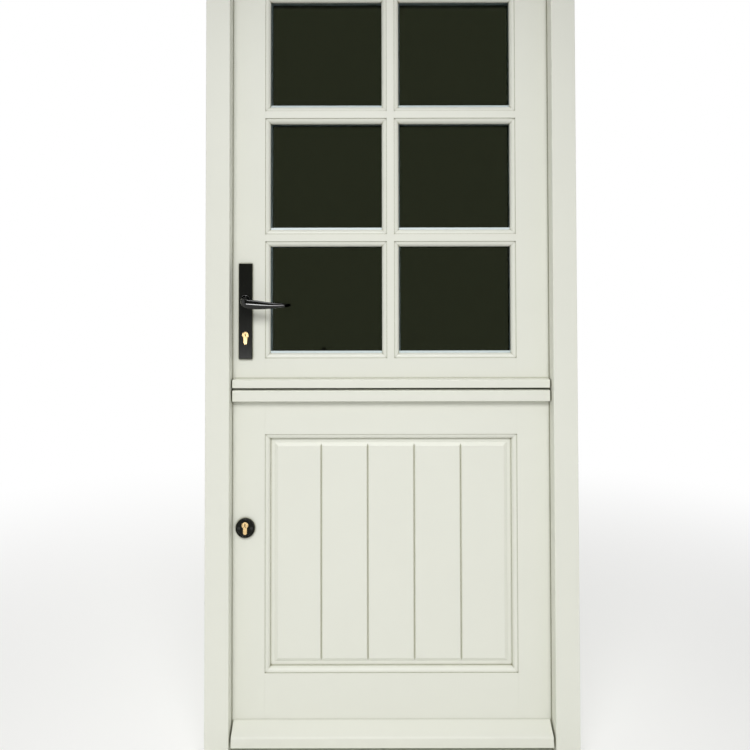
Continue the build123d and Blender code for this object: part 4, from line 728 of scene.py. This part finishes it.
def lever_rings(lever, start, reach, standoff, outward, segments=48):
    """Rings of the neck and arm: a rounded section carried along a path that turns one corner.

    The path leaves the collar square to the leaf, turns by a quarter circle of the bend radius and
    runs along the arm. Let t be the share of the arm that is passed, and travel the share of neck
    and bend plus t, so that it goes from 0 to 2. The path sinks by arm_drop * eased(travel) and by
    late_sink * eased(t), and comes back to the leaf by arm_return * t^2. The section's half height
    grows from the neck's radius to half the arm's height by eased(travel), falls to half the tip's
    by eased(t), and closes over the last twentieth of the arm as an ellipse does. Its thickness goes
    the same way. The section is |x/a|^n + |y/b|^n = 1, with n its squareness, and its top leans
    away from the leaf by the arm's lean.
    """
    late_sink, arm_return = 2.2 * MM, 9.0 * MM
    sink_limits, late_limits = (0.1, 1.25), (0.1, 0.6)
    growth_limits, taper_limits = (0.3, 1.12), (0.1, 1.05)
    thinning, squareness = 0.35, 2.2
    closing_share, smallest_square = 0.95, 0.0004
    neck_count, arm_count, crowding = 28, 70, 1.7
    bend = lever.bend_radius
    straight = standoff - bend
    corner = bend * np.pi / 2
    arm = reach - bend
    far = 1 - (1 - np.linspace(0, 1, arm_count)) ** crowding
    neck_steps = np.linspace(0, straight + corner, neck_count, endpoint=False)
    steps = np.concatenate([neck_steps, straight + corner + arm * far])
    turn = np.clip((steps - straight) / corner, 0, 1) * np.pi / 2
    share = np.clip((steps - straight - corner) / arm, 0, 1)
    along = bend * (1 - np.cos(turn)) + arm * share
    out = np.minimum(steps, straight) + bend * np.sin(turn) - arm_return * share**2
    travel = np.clip(steps / (straight + corner), 0, 1) + share
    sink = lever.arm_drop * eased(travel, *sink_limits) + late_sink * eased(share, *late_limits)
    grown = eased(travel, *growth_limits)
    taper = eased(share, *taper_limits)
    half_height = lever.neck_radius + (lever.arm_height / 2 - lever.neck_radius) * grown
    half_height += (lever.tip_height - lever.arm_height) / 2 * taper
    half_thick = lever.neck_radius + (lever.arm_thickness / 2 - lever.neck_radius) * grown
    half_thick *= 1 - thinning * taper
    closing = np.clip((share - closing_share) / (1 - closing_share), 0, 1)
    tip = np.sqrt(np.clip(1 - closing**2, smallest_square, 1))
    half_height *= tip
    half_thick *= tip
    angle = np.linspace(0, 2 * np.pi, segments, endpoint=False) * -outward
    power = 2 / squareness
    side = half_thick[:, None] * np.sign(np.cos(angle)) * np.abs(np.cos(angle)) ** power
    rise = half_height[:, None] * np.sign(np.sin(angle)) * np.abs(np.sin(angle)) ** power
    side -= lever.arm_lean * grown[:, None] * rise
    x = start[0] + along[:, None] + np.cos(turn)[:, None] * side
    y = start[1] + outward * (out[:, None] - np.sin(turn)[:, None] * side)
    z = start[2] - sink[:, None] + rise
    return np.stack([x, y, z], -1)


def collar_profile(lever):
    """Half section of the collar, (radius, depth), from its middle behind to its middle in front.

    Its edge is a quarter round, and its face dips to the neck by the first quarter of a sine. The
    middle's radius is a sliver above 0, which keeps the points of its ring apart.
    """
    radius, depth = lever.collar_radius, lever.collar_depth
    edge, dip, sliver = 2.4 * MM, 1.2 * MM, 0.01 * MM
    quarter = np.linspace(0, np.pi / 2, 9)
    rounded = [(radius - edge + edge * np.cos(a), depth - edge + edge * np.sin(a)) for a in quarter]
    ramp = np.linspace(0, 1, 7)[1:]
    inner = radius - edge
    face = [(inner - (inner - lever.neck_radius) * t, depth - dip * np.sin(np.pi * t / 2)) for t in ramp]
    return [(sliver, 0), (radius - dip / 2, 0), (radius, dip / 2), *rounded, *face, (sliver, depth - dip)]


def fit_lever(context, node, outward):
    """Builds one lever in the place of its node and hangs it on the lever's body.

    The neck starts half way up the collar. The arm stays just inside the node's box at its tip and
    in front.
    """
    tip_clearance, front_clearance = 0.2 * MM, 0.4 * MM
    lever = context.scene.stable_door.lever
    low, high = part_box(node)
    spindle_low, spindle_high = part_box("lever_spindle")
    centre = (spindle_low + spindle_high) / 2
    wall, front = (high.y, low.y) if outward < 0 else (low.y, high.y)
    neck_start = lever.collar_depth / 2
    reach = high.x - centre.x - tip_clearance
    start = (centre.x, wall + outward * neck_start, centre.z)
    standoff = abs(front - wall) - neck_start - (lever.neck_radius + front_clearance)
    arm = lever_rings(lever, start, reach, standoff, outward)
    collar = turned_rings(collar_profile(lever), (centre.x, wall, centre.z), outward)
    piece = skin(node + "_sculpted", [arm, collar])
    piece.data.shade_smooth()
    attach(piece, "lever")
    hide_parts(node)
    return piece


# Weather seals


def seal_profile(width, height, stem_width, stem_depth):
    """Outline of a bulb seal, anticlockwise: a barbed stem in its groove, a foot, and a soft bulb.

    Points are (across, out of the groove). The bulb is half an ellipse above the foot, and each barb
    goes from the stem's core to its full width over barb_run, a share of the stem's depth.
    """
    foot_share, bulb_share, core_share = 0.22, 0.92, 0.55
    barb_starts, barb_run = (0.08, 0.38, 0.68), 0.2
    half, stem = width / 2, stem_width / 2
    foot = foot_share * height
    arc = np.linspace(0, np.pi, 17)
    bulb = [(half * bulb_share * np.cos(a), foot + (height - foot) * np.sin(a)) for a in arc]
    barbs = []
    for barb in barb_starts:
        barbs += [(-stem * core_share, -stem_depth * barb), (-stem, -stem_depth * (barb + barb_run))]
    right = [(-x, y) for x, y in reversed(barbs)]
    return [(half, 0), (half, foot), *bulb, (-half, foot), (-half, 0), *barbs, *right]


def seal_piece(name, node, body, path, across, out, profile):
    """A seal: its profile carried along a path, with the across and out directions at each corner.

    A point is the corner plus the profile's first number times across and its second times out.
    """
    profile = np.array(profile)
    sideways = profile[None, :, :1] * across[:, None, :]
    outwards = profile[None, :, 1:] * out[:, None, :]
    rings = path[:, None, :] + sideways + outwards
    piece = skin(name, [rings])
    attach(piece, body)
    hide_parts(node)
    return piece


# Pieces by finish

UPRIGHT_TIMBER = (
    "jamb_lock",
    "jamb_hinge",
    "upper_stile_lock",
    "upper_stile_hinge",
    "glazing_bar_upright",
    "lower_stile_lock",
    "lower_stile_hinge",
    "panel",
)
LEVEL_TIMBER = (
    "head",
    "sill",
    "top_rail",
    "upper_meeting_rail",
    "glazing_bar_lower",
    "glazing_bar_upper",
    "glazing_beads",
    "drip_bar_upper",
    "lower_meeting_rail",
    "bottom_rail",
    "shelf_bar_lower",
    "weatherboard",
)
LOCK_STEEL = (
    "keep_upper",
    "keep_lower",
    "keep_hooks",
    "upper_lock_cases",
    "upper_faceplate",
    "lower_lock_case",
    "lower_faceplate",
    "lever_spindle",
    "plate_bolts",
    "latch_bolt",
    "upper_deadbolt",
    "lower_deadbolt",
    "hook_bolt_upper",
    "hook_bolt_lower",
)
HINGES = ("hinge_frame_plates", "hinge_pins", "upper_hinge_plates", "lower_hinge_plates")
SCREWS = ("frame_screws", "upper_screws", "lower_screws")
CYLINDERS = ("upper_cylinder", "lower_cylinder", "upper_cylinder_plug", "lower_cylinder_plug")
BLACK_PLATES = (
    "backplate_outer",
    "backplate_inner",
    "join_bolt_plate",
    "join_bolt_keep",
    "join_bolt_rod",
)
ESCUTCHEONS = ("escutcheon_outer", "escutcheon_inner")
# Pieces that the highlight strips light
POLISHED = (
    "lever_outer_sculpted",
    "lever_inner_sculpted",
    "backplate_outer",
    "backplate_inner",
    *ESCUTCHEONS,
    *CYLINDERS,
)


def give(material, nodes):
    """Puts one material on CAD nodes."""
    for node in nodes:
        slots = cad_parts[node].data.materials
        slots.clear()
        slots.append(material)


class STABLEDOOR_OT_paint_joinery(bpy.types.Operator):
    """Paints the frame and both leaves, with the grain along each member."""

    bl_idname = "stabledoor.paint_joinery"
    bl_label = "Paint Joinery"

    def execute(self, context):
        paint = context.scene.stable_door.paint
        give(satin_paint("satin_paint_upright_grain", paint, ALONG_Z), UPRIGHT_TIMBER)
        give(satin_paint("satin_paint_level_grain", paint, ALONG_X), LEVEL_TIMBER)
        return {"FINISHED"}


def spacer_rings(low, high, widths, depth):
    """Rings of a spacer frame round one unit: its section carried round four mitred corners.

    The section runs from the unit's edge inward by the side's own width, and through the cavity by
    depth. Its two inward corners are quarter ellipses, which take corner, a share of the width, and
    through. Widths are those of left, foot, right, head.
    """
    corner, through = 0.15, 1.0 * MM
    left, foot, right, head = widths
    arc = np.linspace(0, np.pi / 2, 5)
    near = [(1 - corner + corner * np.sin(a), through - through * np.cos(a)) for a in arc]
    section = np.array([(0, 0), *near, *[(x, depth - y) for x, y in reversed(near)], (0, depth)])
    corners = np.array([(low[0], low[2]), (high[0], low[2]), (high[0], high[2]), (low[0], high[2])])
    inward = np.array([(left, foot), (-right, foot), (-right, -head), (left, -head)])
    flat = corners[:, None] + section[None, :, :1] * inward[:, None]
    depths = np.broadcast_to(low[1] + section[None, :, 1], flat.shape[:2])
    return np.stack([flat[..., 0], depths, flat[..., 1]], -1)


def foot_fillet_rings(left, right, pane_front, sight_line, height, depth):
    """Rings of a weathering fillet along the foot of a pane: a slim triangle carried across it.

    A film of air between fillet and pane keeps their faces from lying in one plane.
    """
    film = 0.05 * MM
    back = pane_front - film
    section = np.array([(back, sight_line), (back, sight_line + height), (back - depth, sight_line)])
    across = np.broadcast_to(np.array([left, right])[:, None], (2, 3))
    depths, heights = np.broadcast_to(section.T[:, None], (2, 2, 3))
    return np.stack([across, depths, heights], -1)


class STABLEDOOR_OT_glaze(bpy.types.Operator):
    """Finishes the glass, and gives the six sealed units their spacer bars and foot fillets."""

    bl_idname = "stabledoor.glaze"
    bl_label = "Glaze"

    def execute(self, context):
        sealant, overlap, fillet_depth = 0.3 * MM, 0.5 * MM, 1.2 * MM
        glazing = context.scene.stable_door.glazing
        low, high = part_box("glass_panes")
        give(float_glass(glazing, (low.y + high.y) / 2), ["glass_panes"])
        pane_front = low.y
        low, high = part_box("glass_spacers")
        points = node_points("glass_spacers")
        # Each unit's spacer has four edges across and four up, of which the outer two bound the unit
        across, up = (np.unique(np.round(points[:, axis], 5)) for axis in (0, 2))
        bar = across[1] - across[0]
        columns = list(zip(across[0::4], across[3::4]))
        rows = list(zip(up[0::4], up[3::4]))
        packed = glazing.unit_packing
        widths = (bar + packed, bar, bar - packed / 2, bar - packed / 2)
        near, depth = low.y + sealant, high.y - low.y - 2 * sealant
        frames = [
            spacer_rings((x0, near, z0), (x1, near, z1), widths, depth)
            for x0, x1 in columns
            for z0, z1 in rows
        ]
        shown, height = bar - overlap, glazing.fillet
        fillets = [
            foot_fillet_rings(x0 + shown, x1 - shown, pane_front, z0 + shown, height, fillet_depth)
            for x0, x1 in columns
            for z0, _ in rows
        ]
        foot = skin("foot_fillets", fillets)
        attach(foot, "upper_leaf")
        foot.data.materials.append(glazing_sealant(glazing))
        piece = skin("spacer_frames", frames, closed=True)
        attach(piece, "upper_leaf")
        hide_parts("glass_spacers")
        piece.data.materials.append(spacer_metal(glazing))
        return {"FINISHED"}


class STABLEDOOR_OT_fit_levers(bpy.types.Operator):
    """Builds the two levers as sculpted castings in gloss black."""

    bl_idname = "stabledoor.fit_levers"
    bl_label = "Fit Levers"

    def execute(self, context):
        lacquer_shade = 0.3
        black = [c * lacquer_shade for c in context.scene.stable_door.furniture.black]
        lacquer = {"Specular_IOR_Level": 0.05, "Coat_Weight": 0.8, "Coat_Roughness": 0.06}
        gloss = powder_coat("gloss_black_casting", black, roughness=0.3, edge=0.3 * MM, **lacquer)
        for node, outward in (("lever_outer", -1), ("lever_inner", 1)):
            fit_lever(context, node, outward).data.materials.append(gloss)
        return {"FINISHED"}


class STABLEDOOR_OT_finish_furniture(bpy.types.Operator):
    """Finishes backplates, escutcheons, the joining bolt and the brass cylinders."""

    bl_idname = "stabledoor.finish_furniture"
    bl_label = "Finish Furniture"

    def execute(self, context):
        furniture = context.scene.stable_door.furniture
        black, dull = furniture.black, {"Specular_IOR_Level": 0.12}
        satin = powder_coat("satin_black_powder_coat", black, roughness=0.2, edge=1.0 * MM, **dull)
        gloss = powder_coat("gloss_black_powder_coat", black, roughness=0.14, edge=3.2 * MM, **dull)
        turned = {"line_spacing": 0.5 * MM, "stretch": TURNED_ON_Y, "edge": 1.2 * MM}
        give(satin, BLACK_PLATES)
        give(gloss, ESCUTCHEONS)
        give(bare_metal("turned_brass", furniture.brass, roughness=0.32, **turned), CYLINDERS)
        return {"FINISHED"}


class STABLEDOOR_OT_finish_locks(bpy.types.Operator):
    """Finishes lock steel, hinges, screws and the threshold strip."""

    bl_idname = "stabledoor.finish_locks"
    bl_label = "Finish Locks and Hinges"

    def execute(self, context):
        furniture = context.scene.stable_door.furniture
        brushed = {"line_spacing": 0.6 * MM, "stretch": BRUSHED_UP}
        extruded = {"line_spacing": 0.7 * MM, "stretch": EXTRUDED_ALONG_X}
        give(bare_metal("brushed_steel", furniture.steel, roughness=0.34, **brushed), LOCK_STEEL)
        give(bare_metal("satin_stainless", furniture.hinge, roughness=0.3, **brushed), HINGES)
        low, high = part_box("top_rail")
        give(plated_screws(furniture.steel, furniture.black, low.y, high.y), SCREWS)
        strip = bare_metal("extruded_aluminium", furniture.aluminium, roughness=0.44, **extruded)
        give(strip, ["threshold_strip"])
        return {"FINISHED"}


class STABLEDOOR_OT_fit_seals(bpy.types.Operator):
    """Runs the bulb seals round the stop and under both leaves."""

    bl_idname = "stabledoor.fit_seals"
    bl_label = "Fit Weather Seals"

    def execute(self, context):
        rubber = seal_rubber(context.scene.stable_door.furniture.rubber)
        # The stem fills the groove that is cut for it in the timber
        stem_depth, stem_width = 6.0 * MM, 2.4 * MM
        points = node_points("frame_seal")
        low, high = points.min(axis=0), points.max(axis=0)
        # The lowest points of the run on the hinge side give its middle and its width
        foot = points[(points[:, 0] > 0) & (points[:, 2] < low[2] + MM)]
        jamb, width = (foot[:, 0].max() + foot[:, 0].min()) / 2, np.ptp(foot[:, 0])
        groove, top = low[1] + stem_depth, high[2] - width / 2
        path = np.array(
            [(-jamb, groove, low[2]), (-jamb, groove, top), (jamb, groove, top), (jamb, groove, low[2])]
        )
        across = np.array([(-1, 0, 0), (-1, 0, 1), (1, 0, 1), (1, 0, 0)], float)
        out = np.array([(0, 1, 0)] * 4, float)
        profile = seal_profile(width, high[1] - groove, stem_width, stem_depth)
        run = seal_piece("bulb_seal_frame", "frame_seal", "frame", path, across, out, profile)
        run.data.materials.append(rubber)
        for node, body in (("meeting_seal", "upper_leaf"), ("bottom_seal", "lower_leaf")):
            low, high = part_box(node)
            middle = (low.y + high.y) / 2
            edge = high.z - stem_depth
            path = np.array([(low.x, middle, edge), (high.x, middle, edge)])
            across = np.array([(0, 1, 0)] * 2, float)
            out = np.array([(0, 0, -1)] * 2, float)
            profile = seal_profile(high.y - low.y, edge - low.z, stem_width, stem_depth)
            strip = seal_piece("bulb_" + node, node, body, path, across, out, profile)
            strip.data.materials.append(rubber)
        return {"FINISHED"}


def area_lamp(name, place, target, width, height, power, spread=180):
    """A soft lamp that looks at a target and lights the spread, in degrees, that is given."""
    data = bpy.data.lights.new(name, "AREA")
    data.shape = "RECTANGLE"
    data.size, data.size_y = width, height
    data.energy = power
    data.spread = radians(spread)
    lamp = bpy.data.objects.new(name, data)
    lamp.location = place
    lamp.rotation_euler = (Vector(target) - Vector(place)).to_track_quat("-Z", "Y").to_euler()
    lamp.visible_transmission = False
    bpy.context.scene.collection.objects.link(lamp)
    return lamp


def stage_sheet(name, corners, material):
    """A flat sheet of the stage."""
    mesh = bpy.data.meshes.new(name)
    mesh.from_pydata(corners, [], [(0, 1, 2, 3)])
    mesh.materials.append(material)
    sheet = bpy.data.objects.new(name, mesh)
    bpy.context.scene.collection.objects.link(sheet)
    return sheet


def matt_cloth(colour):
    """Dark matt cloth, which the glass mirrors in place of a lamp."""
    name = "dark_matt_cloth"
    return start_material(name, Base_Color=with_alpha(colour), Roughness=1.0, Specular_IOR_Level=0.0)[0]


def seen_directly(tree):
    """1 for rays from the camera, from a gloss or through glass, and 0 for light on surfaces."""
    path = add_node(tree, "LightPath").outputs
    rays = [path[f"Is {kind} Ray"] for kind in ("Camera", "Glossy", "Transmission")]
    first = add_node(tree, "Math", {0: rays[0], 1: rays[1]}, operation="MAXIMUM").outputs["Value"]
    return add_node(tree, "Math", {0: first, 1: rays[2]}, operation="MAXIMUM").outputs["Value"]


def studio_floor(colour, near, far):
    """Pale matt floor that keeps the door's shadow and turns to plain white with distance."""
    material, tree, shader = start_material(
        "pale_matt_floor", Base_Color=with_alpha(colour), Roughness=0.9, Specular_IOR_Level=0.1
    )
    place = add_node(tree, "TexCoord").outputs["Object"]
    distance = add_node(tree, "VectorMath", {0: place}, operation="LENGTH").outputs["Value"]
    fade = add_node(
        tree,
        "MapRange",
        {"Value": distance, "From Min": near, "From Max": far},
        interpolation_type="SMOOTHSTEP",
    ).outputs["Result"]
    share = add_node(tree, "Math", {0: fade, 1: seen_directly(tree)}, operation="MULTIPLY")
    white = add_node(tree, "Emission", {"Strength": 1.0})
    mixed = add_node(
        tree,
        "MixShader",
        {0: share.outputs["Value"], 1: shader.outputs["BSDF"], 2: white.outputs["Emission"]},
    )
    tree.links.new(mixed.outputs["Shader"], tree.nodes["Material Output"].inputs["Surface"])
    return material


def set_world(ambient):
    """An even light from all round, which is seen as white behind the object."""
    world = bpy.data.worlds.new("studio")
    bpy.context.scene.world = world
    world.use_nodes = True
    tree = world.node_tree
    strength = add_node(tree, "MapRange", {"Value": seen_directly(tree), "To Min": ambient})
    background = tree.nodes["Background"]
    tree.links.new(strength.outputs["Result"], background.inputs["Strength"])
    background.inputs["Color"].default_value = (1, 1, 1, 1)


def lay_floor(colour):
    """Lays a floor under the door. It fades to white between the two distances from the door's foot."""
    ground, reach = CAD_BOX[0].z, 30.0
    fade_from, fade_to = 0.7, 3.6
    corners = [(x * reach, y * reach, ground) for x, y in ((-1, -1), (1, -1), (1, 1), (-1, 1))]
    stage_sheet("studio_floor", corners, studio_floor(colour, fade_from, fade_to))


def hang_cloths(colour):
    """Hangs one dark cloth in front of the door and one over it, which only glass and gloss show."""
    cloth = matt_cloth(colour)
    side, low, high, away, near = 2.3, 0.8, 3.1, -1.95, -0.4
    upright = [(-side, away, low), (side, away, low), (side, away, high), (-side, away, high)]
    roof = [(-side, away, high), (side, away, high), (side, near, high), (-side, near, high)]
    for name, corners in (("front_cloth", upright), ("roof_cloth", roof)):
        sheet = stage_sheet(name, corners, cloth)
        sheet.visible_camera = False
        sheet.visible_diffuse = False
        sheet.visible_shadow = False


def hang_lamps(stage):
    """Hangs the key lamp, two strips that only draw lines of light on polished pieces, and a room lamp.

    The high strip has half the low one's power. The room lamp lights the door's inner side, and has
    several times the key lamp's power because it is larger and further off.
    """
    room_share = 5
    foot, waist, middle = (0, 0, 0.2), (0, 0, 0.9), (0, 0, 1.1)
    area_lamp("key_lamp", (-0.15, -2.5, 2.7), foot, width=2.2, height=1.2, power=stage.key, spread=90)
    strips = [
        area_lamp("low_strip", (0, -2.4, 0.6), waist, width=3.0, height=0.22, power=stage.strip),
        area_lamp("high_strip", (0, -1.0, 2.9), middle, width=1.6, height=0.3, power=stage.strip / 2),
    ]
    polished = bpy.data.collections.new("polished_pieces")
    for name in POLISHED:
        polished.objects.link(bpy.data.objects[name])
    for strip in strips:
        strip.visible_diffuse = False
        strip.light_linking.receiver_collection = polished
    room_power = stage.key * room_share
    area_lamp("room_lamp", (-0.8, 3.4, 3.6), middle, width=3.0, height=3.0, power=room_power)


def stand_camera(scene, stage):
    """Stands the camera where the photograph was taken from, with its roll and its shifted crop."""
    roll, shift_across, shift_up = radians(0.1), 0.010, -0.115
    data = bpy.data.cameras.new("camera")
    data.sensor_width = 36.0
    data.lens = stage.lens
    data.shift_x, data.shift_y = shift_across, shift_up
    camera = bpy.data.objects.new("camera", data)
    camera.location = stage.camera_place
    camera.rotation_euler = (radians(90) + stage.camera_pitch, roll, 0)
    scene.collection.objects.link(camera)
    scene.camera = camera


class STABLEDOOR_OT_set_stage(bpy.types.Operator):
    """Lays the floor, hangs cloths and lamps, and stands the camera at the photograph's viewpoint."""

    bl_idname = "stabledoor.set_stage"
    bl_label = "Set Stage"

    def execute(self, context):
        stage = context.scene.stable_door.stage
        lay_floor(stage.floor)
        hang_cloths(stage.cloth)
        hang_lamps(stage)
        set_world(stage.ambient)
        stand_camera(context.scene, stage)
        context.scene.view_settings.view_transform = "Standard"
        return {"FINISHED"}


OPERATORS = (
    STABLEDOOR_OT_paint_joinery,
    STABLEDOOR_OT_glaze,
    STABLEDOOR_OT_fit_levers,
    STABLEDOOR_OT_finish_furniture,
    STABLEDOOR_OT_finish_locks,
    STABLEDOOR_OT_fit_seals,
    STABLEDOOR_OT_set_stage,
)
SETTINGS = (
    PaintSettings,
    GlazingSettings,
    FurnitureSettings,
    LeverSettings,
    StageSettings,
    StableDoorSettings,
)


class STABLEDOOR_PT_sidebar(bpy.types.Panel):
    """Steps that dress the door, in order, with their settings."""

    bl_idname = "STABLEDOOR_PT_sidebar"
    bl_label = "Stable Door"
    bl_space_type = "VIEW_3D"
    bl_region_type = "UI"
    bl_category = "Stable Door"

    def draw(self, context):
        settings = context.scene.stable_door
        for group in ("paint", "glazing", "furniture", "lever", "stage"):
            box = self.layout.box()
            box.label(text=group.title())
            for key in getattr(settings, group).__annotations__:
                box.prop(getattr(settings, group), key)
        for step in OPERATORS:
            self.layout.operator(step.bl_idname)


def register():
    for item in (*SETTINGS, *OPERATORS, STABLEDOOR_PT_sidebar):
        bpy.utils.register_class(item)
    bpy.types.Scene.stable_door = PointerProperty(type=StableDoorSettings)


def unregister():
    del bpy.types.Scene.stable_door
    for item in reversed((*SETTINGS, *OPERATORS, STABLEDOOR_PT_sidebar)):
        bpy.utils.unregister_class(item)


def main():
    """Dresses the door step by step."""
    register()
    bpy.ops.stabledoor.paint_joinery()
    bpy.ops.stabledoor.glaze()
    bpy.ops.stabledoor.fit_levers()
    bpy.ops.stabledoor.finish_furniture()
    bpy.ops.stabledoor.finish_locks()
    bpy.ops.stabledoor.fit_seals()
    bpy.ops.stabledoor.set_stage()


if __name__ == "__main__":
    main()
